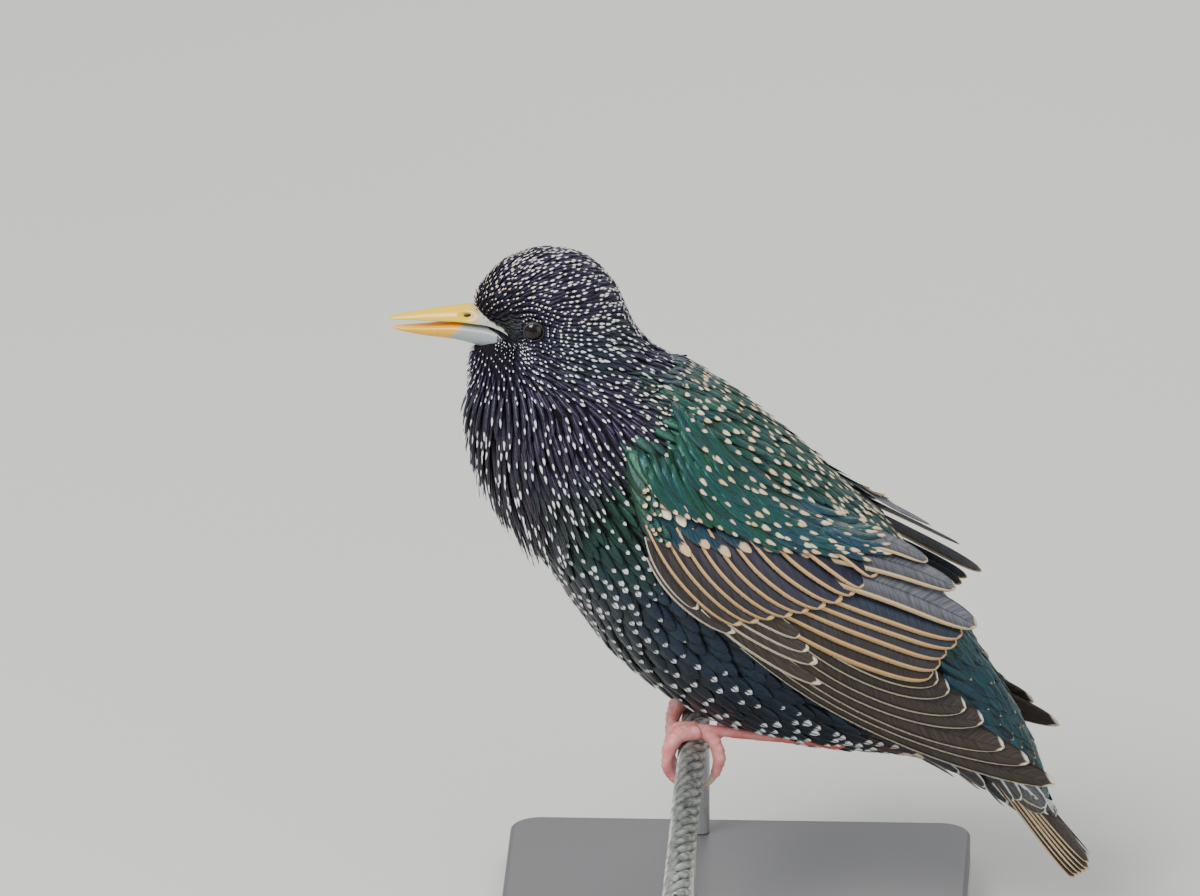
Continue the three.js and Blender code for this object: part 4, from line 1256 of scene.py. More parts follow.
FLIGHT_TIERS = (
    Tier("primaries", 7, ((14, 37), (17, 42), (21, 48)), ((48, 8.5), (48, 15.5), (46.5, 27)),
         ((91, -4.4), (84.4, 1.6), (78.2, 6.3), (72.9, 13.4), (68.6, 16.6), (64.4, 21.7), (62.0, 24.5)),
         (7.0, 8.0), (1.9, 2.0), 0.34, 5.0, (tone(BROWN, 0.55), tone(BROWN, 0.45)), PALE,
         form=(0.0, 0.0, 0.38, 0.0), inner=1.75),
    Tier("secondaries", 5, ((19, 46), (25, 54)), ((46, 31), (48, 39), (50, 43)),
         ((60.5, 25.8), (62.3, 28.2), (64.0, 30.8), (66.0, 33.2), (67.6, 35.2)),
         (8.6, 8.8), (2.1, 2.4), 0.34, 7.0, (tone(BROWN, 0.55), tone(SLATE, 0.85)), RUST),
    # The tertials' pale blue-grey ground is partly their own colour and partly a painted sheen
    Tier("tertials", 3, ((22, 59), (26, 65)), ((48, 50), (46, 55.5), (43, 60.5)),
         ((71.5, 37.4), (66.0, 45.4), (58.5, 52.0)), (9.6, 9.0), (2.8, 3.6), 0.26, 6.0,
         ((0.150, 0.160, 0.185), (0.115, 0.120, 0.140)), (0.72, 0.52, 0.30)),
)
COVERT_TIERS = (
    Tier("alula", 2, ((-9.5, 59), (-10, 64)), ((-2.5, 47.5), (-6.5, 54)), ((12, 40.3), (2, 46)),
         (5.2, 4.4), (1.4, 3.2), 0.2, 5.0, (DUSK, DUSK), PALE, form=(0.0, 0.0, 0.8, 1.0)),
    Tier("primary_coverts", 4, ((4, 47), (8, 50)), ((15, 37), (21, 43)),
         ((33.4, 26.0), (31.6, 31.0), (29.8, 35.0), (27.6, 38.6)), (5.6, 5.2), (2.5, 3.1), 0.24, 6.0,
         (tone(BROWN, 0.75), tone(BROWN, 0.75)), PALE, form=(0.0, 0.0, 0.9, 1.0)),
    Tier("greater_coverts", 10, ((-9.5, 68), (8, 67), (28, 65)), ((0, 51.5), (19, 52.5), (40, 58)),
         ((13.5, 42.6), (22, 43.9), (32, 45.9), (40, 47.6), (46.5, 51.2)), (6.0, 8.6), (3.1, 4.1), 0.30, 6.0,
         (DUSK, (0.018, 0.024, 0.060)), RUST),
    Tier("median_coverts", 9, ((-12, 75), (8, 72), (30, 66)), ((-6.5, 69), (10, 67.5), (35, 62.5)),
         ((0.5, 62.0), (9.5, 60.8), (21, 60.3), (30, 58.8), (39, 58)), (5.8, 5.4), (1.6, 4.4), 0.2, 2.6,
         (tone(TEAL), (0.014, 0.036, 0.085)), tone(BUFF), 0.16, SPOTTED, 0.8),
    Tier("lesser_coverts", 7, ((-15, 80), (0, 78), (12, 74)), ((-10, 76), (4, 73), (16, 70)),
         ((-4.5, 68.5), (4, 67.5), (12, 66.5), (20, 65)), (5.4, 5.0), (0.6, 4.5), 0.16, 2.6,
         (tone(GREEN), tone(TEAL)), tone(CREAM), 0.18, SPOTTED, 0.8),
    Tier("shoulder_coverts", 5, ((-15, 84), (-6, 84), (0, 80)), ((-12, 81), (-4, 79), (4, 77)),
         ((-9, 75), (-1, 74), (8, 71.5)), (4.6, 4.4), (-0.8, 4.5), 0.14, 2.6,
         (tone(GREEN, 0.9), tone(GREEN)), tone(CREAM), 0.20, SPOTTED, 0.8),
)


@dataclass
class Wing:
    """A folded wing: its bed on the body and its tiers of feathers."""

    side: Side
    coverts: bpy.types.Material
    flight: bpy.types.Material
    random: np.random.Generator
    bed_lift: float = 3.0

    def place(self, x: Array, z: Array, lift: Array | float) -> Array:
        """Returns points on the wing's own form, lifted off it."""
        y = self.side.value * (WING_FORM.half_width(x, z) + lift)
        return np.stack([x, y, z], -1)

    def frame(self, path: Array, lift: Array, slope: float) -> tuple[Array, Array, Array]:
        """Returns midlines on the wing's form with their directions across and off the vane.

        The surface's normal is the cross product of its steps along x and z; the slope leans it upwards, so
        that each lower edge stands out over the feather below.
        """
        x, z = path[..., 0], path[..., 1]
        spine = self.place(x, z, lift)
        step = 0.4
        dx = self.place(x + step, z, lift) - self.place(x - step, z, lift)
        dz = self.place(x, z + step, lift) - self.place(x, z - step, lift)
        normal = unit(np.cross(dz, dx)) * self.side.value
        normal[:, 1:-1] = unit(normal[:, :-2] + normal[:, 1:-1] + normal[:, 2:])
        along = unit(np.gradient(spine, axis=1))
        upper = np.cross(normal, along) * -self.side.value
        out = unit(normal + slope * upper)
        lower = unit(np.cross(out, along)) * self.side.value
        return spine, lower, unit(out - along * np.einsum("...i,...i->...", out, along)[..., None])

    def tier(self, tier: Tier) -> Surface:
        """Builds one tier; each midline is a parabola from root over bend to tip."""
        share = np.linspace(0, 1, tier.count)
        s = to_tip(tier.stations)[None, :, None]
        root, bend, tip = (catmull(row, share)[:, None] for row in (tier.roots, tier.bends, tier.tips))
        tip = tip + self.random.normal(0, tier.wobble, tip.shape)
        path = (1 - s) ** 2 * root + 2 * s * (1 - s) * bend + s ** 2 * tip
        lift = tier.lift[0] * (1 - s[..., 0]) + tier.lift[1] * s[..., 0]
        spine, side, out = self.frame(path, np.broadcast_to(lift, path.shape[:2]), tier.slope)
        width = np.linspace(tier.widths[0], tier.widths[1], tier.count)
        plume = Plume(width, width, pointed=tier.pointed, crown=0.10, thick=0.42, inner=tier.inner)
        surface = feather_surface(spine, side, out, plume, tier.across, 0.6)
        tint = blend(np.array(tier.tint[0]), np.array(tier.tint[1]), share)
        tint = tint * (1 + self.random.uniform(-0.15, 0.15, (tier.count, 1)))
        spot = tier.spot * self.random.uniform(0.8, 1.2, (tier.count, 1))
        mark = np.hstack([np.tile(tier.mark, (tier.count, 1)), spot])
        form = np.tile(np.array(tier.form), (tier.count, 1))
        return add_attributes(surface, tier.count, None, tint, mark, form)

    def row(self, roots: Array, tips: Array, width: float, lift: tuple[float, float], spot: float,
            pointed: float, green: float) -> Surface:
        """Builds a row of small feathers from roots to tips, with a pale spot at each tip."""
        count = len(roots)
        s = to_tip(9)[None, :, None]
        tips = tips + self.random.normal(0, 0.8, tips.shape)
        path = roots[:, None] * (1 - s) + tips[:, None] * s
        q = s[..., 0]
        path[..., 1] -= 1.1 * np.sin(np.pi * q)
        rise = lift[0] * (1 - q) + lift[1] * q + self.random.uniform(0, 0.5, (count, 1)) * q
        # They dive under the neck's feathers at the front and under the mantle's at the top
        rise = rise * (1 - 0.9 * smoothstep(79, 88, path[..., 1]) * smoothstep(3, -8, path[..., 0]))
        spine, side, out = self.frame(path, rise, 0.08)
        size = width * self.random.uniform(0.85, 1.2, count)
        plume = Plume(size, size, pointed=pointed, crown=0.18, thick=0.25)
        surface = feather_surface(spine, side, out, plume, 5)
        bluish = self.random.uniform(0, 0.5, count) + 0.45 * smoothstep(12, 45, tips[:, 0])
        tint = blend(GREEN * green, np.array([0.012, 0.038, 0.095]), bluish)
        tint = tint * self.random.uniform(0.75, 1.25, (count, 1))
        colour = blend(CREAM, BUFF, self.random.uniform(0.2, 1, count))
        spots = spot * self.random.uniform(0.7, 1.2, (count, 1)) * (self.random.random((count, 1)) > 0.12)
        mark = np.hstack([colour, spots])
        form = np.tile([0.0, 0.2, 0.0, 0.0], (count, 1))
        bake = np.stack([0.25 + 0.25 * self.side.value + 0.0022 * roots[:, 0], 0.3 + 0.004 * roots[:, 1]], -1)
        return add_attributes(surface, count, bake, tint, mark, form)

    def small_rows(self) -> Surface:
        """Builds the shoulder's marginal coverts and the scapulars that hang over the wing's top edge."""
        share = np.linspace(0, 1, 21)
        hem = catmull([(-3, 70), (9, 66), (20, 62), (30, 59), (40, 57), (49, 56)], share)
        top = catmull([(-5, 87), (5, 83.5), (15, 77.5), (26, 70.5), (37, 64), (47, 58.5)], share)
        shoulder = catmull([(-15.5, 82), (-15.2, 78.5), (-14.4, 74), (-12.7, 67.5)], np.linspace(0, 1, 10))
        reach = np.array([7.5, -11.5]) + share[:, None] * np.array([7.5, 4.5])
        joined: Surface | None = None
        for row in range(2):
            roots = shoulder + row * np.array([3.0, 0.4]) + [0.0, 1.5]
            part = self.row(roots, roots + np.array([5.2, -6.2]), 3.4, (2.0 * row - 0.8, 4.7), 0.17, 2.0, 0.8)
            joined = part if joined is None else joined.join(part)
        for row, low in enumerate((4.6, 4.4, 3.8, 2.9, 1.5, 0.3)):
            q = row / 5.2
            tips = hem * (1 - q) + top * q + np.array([1.1, -0.6]) * (row % 2)
            far = tips - reach
            on_wing = (far[:, 1] < 84 + 0.5 * row) | (far[:, 0] > -5)
            part = self.row(far[on_wing], tips[on_wing], 3.2, (low, 5.6 - 2.4 * q ** 2), 0.20, 1.5, 1.0)
            joined = joined.join(part)
        return joined

    def bed(self) -> Surface:
        """Builds the wing's fleshy bed: a lens over the arm and hand.

        Rows run between the lower and the upper edge of the wing; the bed is bed_lift thick times the root
        of the sine across it, so that it closes at both edges.
        """
        a, b = np.linspace(0, 1, 40), np.linspace(0, 1, 13)
        lower = catmull([(-14, 70), (-11, 62), (-1, 53), (11, 43), (24, 32), (38, 22), (50, 17)], a)
        upper = catmull([(-14, 74), (-9, 82), (4, 78), (18, 71), (32, 64), (44, 54), (52, 36)], a)
        path = lower[:, None] * (1 - b[:, None]) + upper[:, None] * b[:, None]
        swell = np.sqrt(np.sin(np.pi * np.clip(b, 0.001, 0.999)))
        swell = swell * np.sin(np.pi * np.clip(a[:, None], 0.02, 0.98)) ** 0.3
        top = self.place(path[..., 0], path[..., 1], self.bed_lift * swell - 0.6)
        under = self.place(path[..., 0], path[..., 1], np.full(path.shape[:2], -1.4))
        surface = grid_surface(np.concatenate([top, under[:, ::-1]], axis=1))
        surface.bake = surface.uv * BAKE_SCALE + BAKE_MARGIN
        return surface

    def build(self, skin_finish: bpy.types.Material) -> None:
        """Builds the wing's four pieces."""
        label = self.side.name.lower()
        flight = in_strips([self.tier(t) for t in FLIGHT_TIERS])
        dress(flight.build(f"wing_flight_feathers_{label}"), self.flight, "flight_feather", f"wing_{label}")
        coverts = in_strips([self.tier(t) for t in COVERT_TIERS])
        dress(coverts.build(f"wing_coverts_{label}"), self.coverts, "plumage")
        dress(self.small_rows().build(f"scapulars_{label}"), self.coverts, "plumage")
        dress(self.bed().build(f"wing_bed_{label}"), skin_finish, "plumage")


@dataclass
class Tail:
    """Twelve tail feathers stacked like a low roof."""

    finish: bpy.types.Material
    random: np.random.Generator
    a_side: int = 6
    root: tuple[float, float] = (68.0, 5.0)
    tip: tuple[float, float] = (98.0, -34.0)
    width: float = 7.2
    sideways: tuple[float, float] = (3.35, 0.95)
    drop: float = 0.85

    def build(self) -> bpy.types.Object:
        """Builds all the feathers as one piece; each midline spreads and drops away from the middle pair."""
        i = np.repeat(np.arange(self.a_side), 2).astype(float)
        way = np.tile([-1.0, 1.0], self.a_side)
        root = np.array([self.root[0], 0.0, self.root[1]])
        tip = np.array([self.tip[0], 0.0, self.tip[1]])
        along = unit(tip - root)
        up = np.array([-along[2], 0.0, along[0]])
        length = np.linalg.norm(tip - root) - np.where(i == 0, 1.2, 0.3 * i)
        length = length + self.random.normal(0, 0.15, len(i))
        s = to_tip(16)[None]
        spread = 0.45 + 0.55 * s
        spine = (root + along * (length[:, None] * s)[..., None]
                 + up * (-self.drop * i[:, None] * spread + 1.6 + 0.8 * s ** 2)[..., None])
        shift = way[:, None] * (self.sideways[0] + self.sideways[1] * i[:, None]) * spread
        spine = spine + np.array([0, 1.0, 0]) * shift[..., None]
        side = unit(np.stack([np.zeros(len(i)), way, np.zeros(len(i))], -1) - 0.3 * up)[:, None]
        side = np.broadcast_to(side, spine.shape)
        out = unit(up + np.stack([np.zeros(len(i)), 0.3 * way, np.zeros(len(i))], -1))[:, None]
        out = np.broadcast_to(out, spine.shape)
        plume = Plume(length, np.full(len(i), self.width), pointed=6.0, crown=0.08, thick=0.4)
        surface = feather_surface(spine, side, out, plume, 7, 0.7)
        count = len(i)
        tint = np.tile(BROWN * 0.9, (count, 1)) * self.random.uniform(0.85, 1.1, (count, 1))
        mark = np.tile([0.66, 0.50, 0.30, 0.0], (count, 1))
        form = np.tile([0.0, 0.0, 1.0, 0.0], (count, 1))
        form[:, 2] = self.random.uniform(0.45, 1.0, count)
        surface = in_strips([add_attributes(surface, count, None, tint, mark, form)])
        return dress(surface.build("tail_feathers"), self.finish, "flight_feather", "tail")


# Bill and eyes


@dataclass
class Bill:
    """The slightly open bill; each half is rings of x, middle z, height above, height below, half width."""

    upper_finish: bpy.types.Material
    lower_finish: bpy.types.Material
    nostril_shade_finish: bpy.types.Material
    upper: tuple[tuple[float, ...], ...] = (
        (-42.0, 106.4, 4.5, 0.8, 7.4), (-45.0, 107.2, 4.6, 0.8, 7.4), (-47.5, 108.6, 4.3, 0.8, 6.6),
        (-51.0, 109.6, 3.8, 0.8, 5.2), (-55.0, 109.9, 3.5, 0.7, 4.4), (-59.0, 110.1, 3.0, 0.7, 3.7),
        (-63.0, 110.0, 2.5, 0.6, 3.0), (-67.0, 109.9, 1.95, 0.55, 2.4), (-71.0, 109.8, 1.25, 0.45, 1.8),
        (-74.0, 109.6, 0.75, 0.35, 1.15), (-75.6, 109.55, 0.42, 0.25, 0.65), (-76.1, 109.5, 0.15, 0.12, 0.25),
    )
    lower: tuple[tuple[float, ...], ...] = (
        (-42.0, 104.5, 1.2, 4.5, 6.8), (-45.0, 105.2, 1.2, 4.6, 6.8), (-47.5, 106.4, 1.6, 4.6, 6.3),
        (-51.0, 107.2, 1.6, 4.9, 5.2), (-55.0, 107.5, 1.5, 4.2, 4.3), (-59.0, 107.6, 1.4, 3.3, 3.5),
        (-63.0, 107.5, 1.0, 2.7, 2.8), (-67.0, 107.3, 0.7, 2.1, 2.2), (-71.0, 107.2, 0.5, 1.3, 1.65),
        (-73.6, 107.15, 0.35, 0.7, 1.05), (-75.0, 107.1, 0.22, 0.3, 0.5), (-75.4, 107.08, 0.1, 0.1, 0.2),
    )

    def half(self, rows: tuple[tuple[float, ...], ...], ridge: float) -> Surface:
        """Builds one half: at the angle a its height is above or below times |sin a| to the ridge power."""
        t = np.linspace(0, 1, 90)
        x, z, above, below, wide = catmull(rows, t).T
        angle = full_turn(48)
        sin, cos = np.sin(angle)[None], np.cos(angle)[None]
        lift = np.where(sin > 0, above[:, None], below[:, None]) * np.sign(sin) * np.abs(sin) ** ridge
        broad = wide[:, None] * np.sign(cos) * np.abs(cos) ** 0.9
        points = np.stack([np.broadcast_to(x[:, None], lift.shape), broad, z[:, None] + lift], -1)
        return grid_surface(points)

    def build(self) -> None:
        """Builds both halves; a nostril is pressed into each side of the upper one, with a raised rim."""
        top = self.half(self.upper, 1.15)
        for way in (-1.0, 1.0):
            offset = (top.verts - np.array([-56.6, way * 3.6, 111.5])) / np.array([1.9, 1.6, 0.9])
            near = np.sqrt((offset ** 2).sum(1))
            hollow, rim = np.exp(-(near * 1.25) ** 2), np.exp(-((near - 1.35) * 3) ** 2)
            top.verts[:, 1] -= way * (1.15 * hollow - 0.22 * rim)
        dress(top.build("bill_upper_horn"), self.upper_finish, "bill", "bill_upper")
        dress(self.half(self.lower, 1.0).build("bill_lower_horn"), self.lower_finish, "bill", "bill_lower")
        # A near-black ball in each nostril's hollow is painted shade for the dark inside the opening
        for way in (-1.0, 1.0):
            label = "left" if way < 0 else "right"
            a, b = np.meshgrid(np.linspace(0, np.pi, 10), full_turn(20), indexing="ij")
            spot = np.array([-56.2, way * 2.85, 111.45])
            ball = np.stack([1.15 * np.cos(a), 0.35 * np.sin(a) * np.cos(b) * way,
                             0.5 * np.sin(a) * np.sin(b)], -1)
            dress(grid_surface(ball + spot).build(f"nostril_{label}"), self.nostril_shade_finish, "bill")


@dataclass
class Eye:
    """An eyeball with its ring of bare lid skin."""

    side: Side
    ball_finish: bpy.types.Material
    lid_finish: bpy.types.Material
    radius: float = 3.1
    opening: tuple[float, float] = (2.3, 2.1)
    lid: float = 0.46
    sink: float = 2.9

    def build(self) -> None:
        """Builds the ball, a sphere sunk in the head, and the lids, a ring that hugs it."""
        way = self.side.value
        label = self.side.name.lower()
        centre = EYE_SPOT * np.array([1, way, 1]) - np.array([0, way * self.sink, 0])
        a, b = np.meshgrid(np.linspace(0, np.pi, 33), full_turn(48), indexing="ij")
        ball = np.stack([np.sin(a) * np.cos(b), np.cos(a) * way, np.sin(a) * np.sin(b)], -1) * self.radius
        dress(grid_surface(ball + centre).build(f"eyeball_{label}"), self.ball_finish, "eye", f"eye_{label}")
        ring, tube = np.meshgrid(full_turn(60), full_turn(16), indexing="ij")
        fold = self.lid * (1 + 0.10 * np.sin(ring * 19) * np.cos(tube))
        flat_x = (self.opening[0] + self.lid + fold * np.cos(tube)) * np.cos(ring)
        flat_z = (self.opening[1] + self.lid + fold * np.cos(tube)) * np.sin(ring)
        hug = np.sqrt(np.maximum(self.radius ** 2 - flat_x ** 2 - flat_z ** 2, 0.8))
        y = way * (hug + fold * np.sin(tube) * 0.9)
        lids = np.stack([flat_x, y, flat_z], -1) + centre
        lids = np.concatenate([lids, lids[:1]], axis=0)
        surface = grid_surface(lids, caps=False)
        dress(surface.build(f"eyelids_{label}"), self.lid_finish, "plumage")


# Legs


def tube_points(path: Array, radius: Array, sides: int) -> Array:
    """Carries a ring along a path that lies near a plane of constant Y.

    The ring's first direction is Y, square to the path, and its second is square to both.
    """
    along = unit(np.gradient(path, axis=0))
    across = np.array([0.0, 1.0, 0.0]) - along * along[:, 1:2]
    across = unit(across)
    up = unit(np.cross(along, across))
    angle = full_turn(sides)
    ring = across[:, None] * np.cos(angle)[None, :, None] + up[:, None] * np.sin(angle)[None, :, None]
    return path[:, None] + ring * radius[:, None, None]


@dataclass
class Leg:
    """A lower leg with its plates, four toes wrapped round the rope, and their claws."""

    side: Side
    skin_finish: bpy.types.Material
    claw_finish: bpy.types.Material
    splay: tuple[float, float, float] = (-4.6, 0.0, 4.6)

    def toe_path(self, splay: float) -> Array:
        """Returns the control places of a front toe."""
        y = self.side.value * FOOT_Y
        reach = 1.0 if splay == 0 else 0.86
        return np.array([(1.5, y + 0.2 * splay, 5.6), (-3.4, y + 0.7 * splay, 5.0), (-5.9, y + splay, 0.4),
                         (-5.6, y + splay, -4.2 * reach), (-3.6, y + splay, -7.4 * reach)])

    def hallux_path(self) -> Array:
        """Returns the control places of the rear toe."""
        way = self.side.value
        return np.array([(1.5, way * FOOT_Y, 5.6), (5.3, way * (FOOT_Y + 1), 3.8),
                         (6.8, way * (FOOT_Y + 2), -0.6), (6.4, way * (FOOT_Y + 2), -3.8),
                         (5.4, way * (FOOT_Y + 2), -5.8)])

    def toe(self, controls: Array, joints: int) -> Surface:
        """Builds a toe: its radius swells at each joint and steps at each plate on its upper side."""
        t = np.linspace(0, 1, 70)
        path = catmull(controls, t)
        radius = np.interp(t, [0, 0.5, 0.9, 1], [1.75, 1.55, 1.2, 0.75])
        radius = radius * (1 + 0.09 * np.cos(2 * np.pi * joints * t))
        points = tube_points(path, radius, 20)
        away = np.sin(full_turn(20)) * (-1 if controls[2, 0] < 0 else 1)
        outer, inner = np.clip(away, 0, 1), np.clip(-away, 0, 1)
        plate = (t * joints * 4.5) % 1.0
        pad = 0.5 - 0.5 * np.cos(2 * np.pi * joints * t)
        relief = 1 + 0.16 * (plate[:, None] - 0.5) * outer[None] + 0.2 * pad[:, None] * inner[None]
        centre = path[:, None]
        return grid_surface(centre + (points - centre) * relief[..., None])

    def claw(self, controls: Array) -> Surface:
        """Builds a claw: a curved horn that narrows to its point."""
        end, before = controls[-1], controls[-2]
        along = unit(end - before)
        inward = np.array([-np.sign(end[0]), 0.0, 0.0])
        spots = np.array([end - along * 0.5, end + along * 1.4 + inward * 0.1,
                          end + along * 2.9 + inward * 0.9, end + along * 3.9 + inward * 2.5])
        t = np.linspace(0, 1, 26)
        radius = np.interp(t, [0, 0.15, 0.6, 1], [0.95, 0.9, 0.55, 0.05])
        return grid_surface(tube_points(catmull(spots, t), radius, 14))

    def shank(self) -> Surface:
        """Builds the lower leg: a tube with stepped plates along its front."""
        y = self.side.value * FOOT_Y
        t = np.linspace(0, 1, 110)
        path = catmull([(HEEL[0] + 1.5, y, HEEL[1] + 0.6), (HEEL[0] - 2, y, HEEL[1]), (27, y, 3.8),
                        (12, y, 5.0), (3.2, y, 5.9), (0.8, y, 5.4)], t)
        radius = np.interp(t, [0, 0.12, 0.3, 0.75, 0.92, 1], [2.0, 2.1, 1.45, 1.3, 1.75, 1.9])
        points = tube_points(path, radius, 24)
        front = np.clip(np.sin(full_turn(24)), 0, 1)
        plate = (t * 11) % 1.0
        relief = 1 + 0.09 * (plate[:, None] - 0.5) * front[None]
        centre = path[:, None]
        return grid_surface(centre + (points - centre) * relief[..., None])

    def build(self) -> None:
        """Builds the leg's pieces."""
        label = self.side.name.lower()
        dress(self.shank().build(f"lower_leg_{label}"), self.skin_finish, "leg_skin", f"tarsus_{label}")
        paths = [self.toe_path(splay) for splay in self.splay] + [self.hallux_path()]
        joints = (3, 4, 3, 2)
        toes = self.toe(paths[0], joints[0])
        for path, count in zip(paths[1:], joints[1:]):
            toes = toes.join(self.toe(path, count))
        dress(toes.build(f"toes_{label}"), self.skin_finish, "leg_skin", f"foot_{label}")
        names = [f"claw_front_{i}" for i in (1, 2, 3)] + ["claw_rear"]
        for name, path in zip(names, paths):
            dress(self.claw(path).build(f"{name}_horn_{label}"), self.claw_finish, "claw", f"{name}_{label}")


# Perch and stand


@dataclass
class Rope:
    """Six strands laid round a core, each a bundle of fine wires laid the other way."""

    finish: bpy.types.Material
    core_shade_finish: bpy.types.Material
    radius: float = 3.6
    strands: int = 6
    wires: int = 9
    lay: float = 38.0
    wire_lay: float = 13.0
    steps: int = 190

    def helix(self, y: Array, radius: float, turn: float, phase: Array) -> Array:
        """Returns points of helices along Y: radius times cosine and sine of phase - 2 pi y / turn."""
        angle = phase[:, None] - 2 * np.pi * y[None] / turn
        return np.stack([radius * np.cos(angle), np.broadcast_to(y, angle.shape), radius * np.sin(angle)], -1)

    def build(self) -> None:
        """Builds the wires as one piece, and the cores as another: their near-black is painted shade."""
        low, high = (v.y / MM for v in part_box("perch_rope"))
        y = np.linspace(low, high, self.steps)
        strand = 0.335 * self.radius
        lane = self.radius - strand
        phase = np.arange(self.strands) * 2 * np.pi / self.strands + np.pi / self.strands
        axis = self.helix(y, lane, self.lay, phase)
        along = unit(np.gradient(axis, axis=1))
        radial = unit(axis * np.array([1, 0, 1]))
        cross = unit(np.cross(along, radial))
        wire = 0.255 * strand
        ring = strand - wire
        k = np.arange(self.wires) * 2 * np.pi / self.wires
        angle = k[None, :, None] + 2 * np.pi * y[None, None] / self.wire_lay
        centre = (axis[:, None] + radial[:, None] * (ring * np.cos(angle))[..., None]
                  + cross[:, None] * (ring * np.sin(angle))[..., None]).reshape(-1, self.steps, 3)
        self.tubes(centre, wire, 6).build("rope_wires")
        dress(bpy.data.objects["rope_wires"], self.finish, "rope_steel", "perch_rope")
        # The cores' near-black finish is painted shade in the gaps between the wires and the strands
        cores = self.tubes(np.concatenate([axis, self.helix(y, 0.01, self.lay, np.zeros(1))]), ring, 10)
        dress(cores.build("rope_cores"), self.core_shade_finish, "rope_steel")

    def tubes(self, centre: Array, radius: float, sides: int) -> Surface:
        """Carries a round section along each of many centre lines."""
        along = unit(np.gradient(centre, axis=1))
        first = unit(np.cross(along, np.array([0.0, 0.0, 1.0]) + 0 * along))
        second = np.cross(along, first)
        angle = full_turn(sides)
        points = (centre[:, :, None] + radius * (first[:, :, None] * np.cos(angle)[None, None, :, None]
                                                 + second[:, :, None] * np.sin(angle)[None, None, :, None]))
        count, steps = centre.shape[:2]
        return Surface(points.reshape(-1, 3), tube_faces(count, steps, sides),
                       np.zeros((count * steps * sides, 2)))


@dataclass
class Stand:
    """The flat base with eased edges and its two rods."""

    paint: bpy.types.Material
    steel: bpy.types.Material
    corner: float = 8.0
    ease: float = 1.2
    sides: int = 64

    def outline(self, inset: float) -> Array:
        """Returns the base's rounded outline, drawn in by an inset."""
        low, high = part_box("stand_base")
        half = (np.array([high.x - low.x, high.y - low.y]) / 2) / MM - inset
        middle = (np.array([high.x + low.x, high.y + low.y]) / 2 - ORIGIN[:2]) / MM
        radius = max(self.corner - inset, 0.5)
        angle = full_turn(self.sides) + 0.01
        turn = np.stack([np.cos(angle), np.sin(angle)], -1)
        return middle + np.sign(turn) * (half - radius) + turn * radius

    def build(self) -> None:
        """Builds the base, a stack of outlines with a quarter-round at its top edge, and dresses the rods."""
        low, high = (v.z / MM - ORIGIN[2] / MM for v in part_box("stand_base"))
        bend = np.linspace(0, np.pi / 2, 7)
        levels = [(0.4, low), (0.0, low + 0.4)] + [
            (self.ease * (1 - math.cos(b)), high - self.ease * (1 - math.sin(b))) for b in bend]
        rings = [np.hstack([self.outline(inset), np.full((self.sides, 1), z)]) for inset, z in levels]
        piece = grid_surface(np.array(rings)).build("stand_plate", smooth=False)
        dress(piece, self.paint, "stand_paint", "stand_base")
        for name in ("stand_rod_front", "stand_rod_back"):
            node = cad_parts[name]
            node.data.materials.clear()
            node.data.materials.append(self.steel)


# Studio


# Lamps of the studio: name, place, size, power and colour
LAMPS = (
    ("key", (-0.8, -0.8, 1.4), 0.8, 38.0, (1.0, 0.98, 0.95)),
    ("fill", (1.1, -0.9, 0.6), 1.2, 7.0, (0.95, 0.97, 1.0)),
    ("rim", (0.3, 1.2, 1.2), 0.9, 12.0, (1.0, 1.0, 1.0)),
)
SKY = (0.80, 0.82, 0.84, 1.0)
SKY_STRENGTH = 0.60
LAMP_AIM = Vector((0, 0, 0.1))


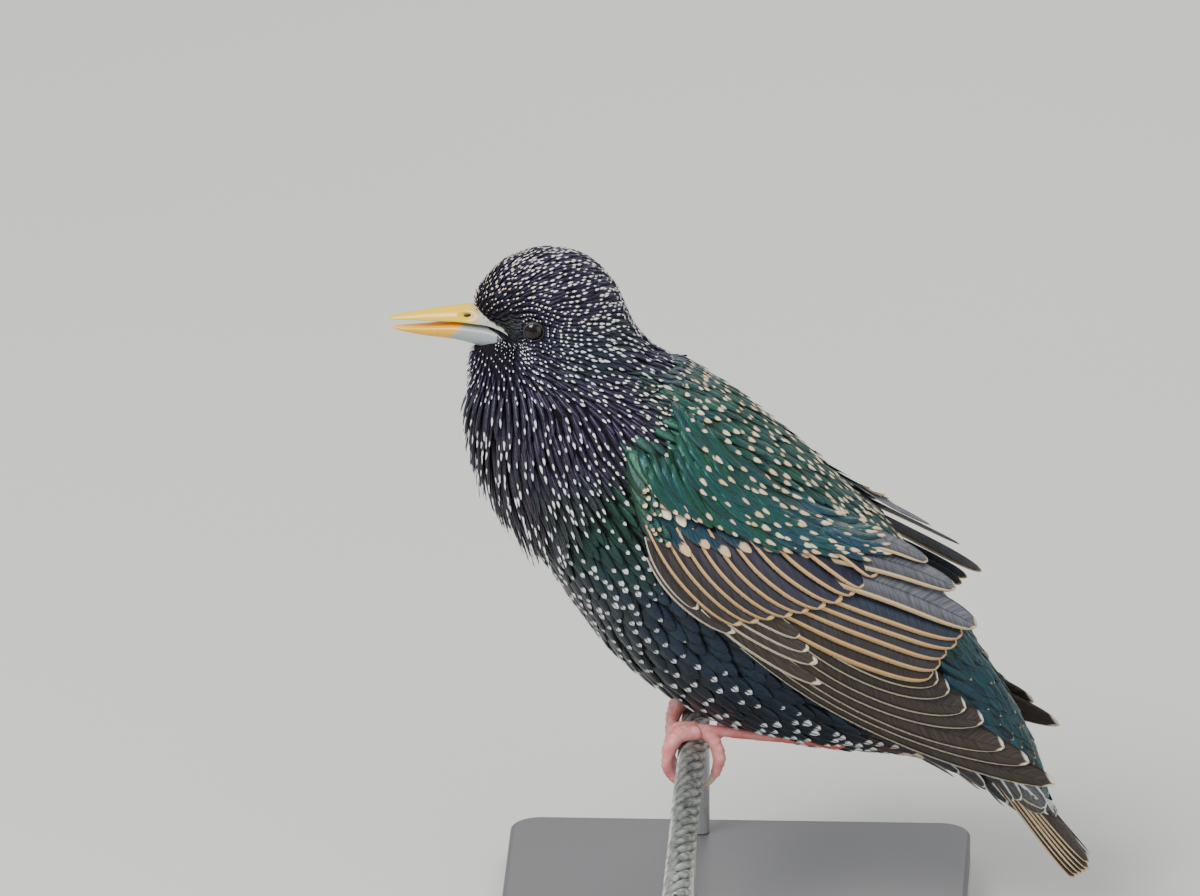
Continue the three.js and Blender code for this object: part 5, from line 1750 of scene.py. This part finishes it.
@dataclass
class Studio:
    """Pale floor, soft lights and a long lens at the photo's viewing angle."""

    azimuth: float = 2.4
    elevation: float = 20.0
    distance: float = 7000.0
    scale: float = 4.0
    image: tuple[int, int] = (1200, 896)
    rope_pixel: tuple[float, float] = (694.0, 734.5)
    sensor: float = 36.0
    floor_half: float = 30.0

    def directions(self) -> tuple[Array, Array, Array]:
        """Returns the camera's right, up and forward directions."""
        az, el = math.radians(self.azimuth), math.radians(self.elevation)
        forward = np.array([-math.sin(az) * math.cos(el), math.cos(az) * math.cos(el), -math.sin(el)])
        right = np.array([math.cos(az), math.sin(az), 0.0])
        return right, np.cross(right, forward), forward

    def camera(self) -> None:
        """Aims the camera so that the rope's axis lands on its place in the image."""
        right, up, forward = self.directions()
        shift_x = (self.image[0] / 2 - self.rope_pixel[0]) / self.scale
        shift_y = (self.rope_pixel[1] - self.image[1] / 2) / self.scale
        aim = right * shift_x + up * shift_y
        data = bpy.data.cameras.new("view")
        data.sensor_width = self.sensor
        data.lens = self.scale * self.distance / self.image[0] * self.sensor
        data.clip_start, data.clip_end = 0.05, 20.0
        camera = bpy.data.objects.new("view", data)
        camera.location = Vector((aim - forward * self.distance) * MM + ORIGIN)
        camera.rotation_euler = Vector(forward).to_track_quat("-Z", "Y").to_euler()
        bpy.context.scene.collection.objects.link(camera)
        bpy.context.scene.camera = camera

    def floor(self) -> None:
        """Lays a wide pale floor at the base's underside."""
        n = Nodes("pale_floor")
        n.surface(n.mix(n.noise(n.place(), 3.0, 2.0), (0.60, 0.60, 0.57), (0.64, 0.64, 0.61)), 0.75)
        mesh = bpy.data.meshes.new("floor")
        half = self.floor_half
        mesh.from_pydata([(-half, -half, 0), (half, -half, 0), (half, half, 0), (-half, half, 0)], [],
                         [(0, 1, 2, 3)])
        mesh.materials.append(n.material)
        floor = bpy.data.objects.new("floor", mesh)
        bpy.context.scene.collection.objects.link(floor)

    def lamp(self, name: str, spot: tuple[float, float, float], size: float, power: float,
             tint: Colour) -> None:
        """Hangs a soft square lamp that looks at the bird."""
        data = bpy.data.lights.new(name, "AREA")
        data.size, data.energy, data.color = size, power, tint
        lamp = bpy.data.objects.new(name, data)
        lamp.location = spot
        lamp.rotation_euler = (LAMP_AIM - Vector(spot)).to_track_quat("-Z", "Y").to_euler()
        bpy.context.scene.collection.objects.link(lamp)

    def build(self) -> None:
        """Builds the studio."""
        world = bpy.data.worlds.new("soft_sky")
        world.use_nodes = True
        world.node_tree.nodes["Background"].inputs[0].default_value = SKY
        world.node_tree.nodes["Background"].inputs[1].default_value = SKY_STRENGTH
        bpy.context.scene.world = world
        self.floor()
        for lamp in LAMPS:
            self.lamp(*lamp)
        self.camera()


def main() -> None:
    """Builds every sub-assembly in order."""
    logging.basicConfig(level=logging.INFO, format="%(name)s %(message)s")
    Studio().build()
    skin = Skin()
    skin_finish = SkinFinish().material()
    dress(skin.build(), skin_finish, "plumage", "head", "neck", "torso", "thigh_left", "thigh_right")
    small = FeatherFinish("small_feathers", barbs=12.0, slant=0.1).material()
    contour = FeatherFinish("contour_feathers", barbs=30.0, slant=0.22, roughness=0.38,
                            metallic=0.4).material()
    flight = FeatherFinish("flight_feathers", barbs=110.0, slant=0.06, tip_edge=0.984, roughness=0.5,
                           metallic=0.1, hue_turn=0.0, gloss=0.28, sheen=0.0).material()
    Plumage(Coat(skin), small, contour).build()
    for side in Side:
        Wing(side, contour, flight, np.random.default_rng(WING_SEED)).build(skin_finish)
    Tail(flight, np.random.default_rng(TAIL_SEED)).build()
    Bill(
        BillFinish("bill_upper_horn", (0.88, 0.60, 0.015), (0.92, 0.60, 0.008), (0.48, 0.50, 0.45),
                   -54.5, 2.6).material(),
        BillFinish("bill_lower_horn", (0.88, 0.52, 0.01), (0.90, 0.44, 0.002), (0.33, 0.38, 0.42),
                   -59.5, 1.2, 0.9).material(),
        # Near-black nostril finish: painted shade inside the openings
        HideFinish("nostril_painted_shade", (0.02, 0.015, 0.015), (0.01, 0.008, 0.008)).material(),
    ).build()
    lid = HideFinish("eyelid_skin", (0.035, 0.035, 0.042), (0.012, 0.012, 0.016), 1500.0).material()
    legs = HideFinish("leg_skin", (0.74, 0.34, 0.32), (0.52, 0.12, 0.12), 700.0,
                      far=(0.66, 0.13, 0.05)).material()
    claws = ClawFinish().material()
    for side in Side:
        Eye(side, EyeFinish(f"eye_{side.name.lower()}").material(), lid).build()
        Leg(side, legs, claws).build()
    Rope(SteelFinish("rope_wire_steel", (0.56, 0.58, 0.55), (0.22, 0.235, 0.22), 0.34).material(),
         # Near-black core finish: painted shade between the wires
         SteelFinish("rope_core_painted_shade", (0.08, 0.08, 0.08), (0.04, 0.04, 0.04), 0.6).material()).build()
    Stand(PaintFinish("stand_paint", (0.10, 0.10, 0.105)).material(),
          SteelFinish("rod_steel", (0.60, 0.60, 0.60), (0.50, 0.50, 0.50), 0.25).material()).build()


if __name__ == "__main__":
    main()
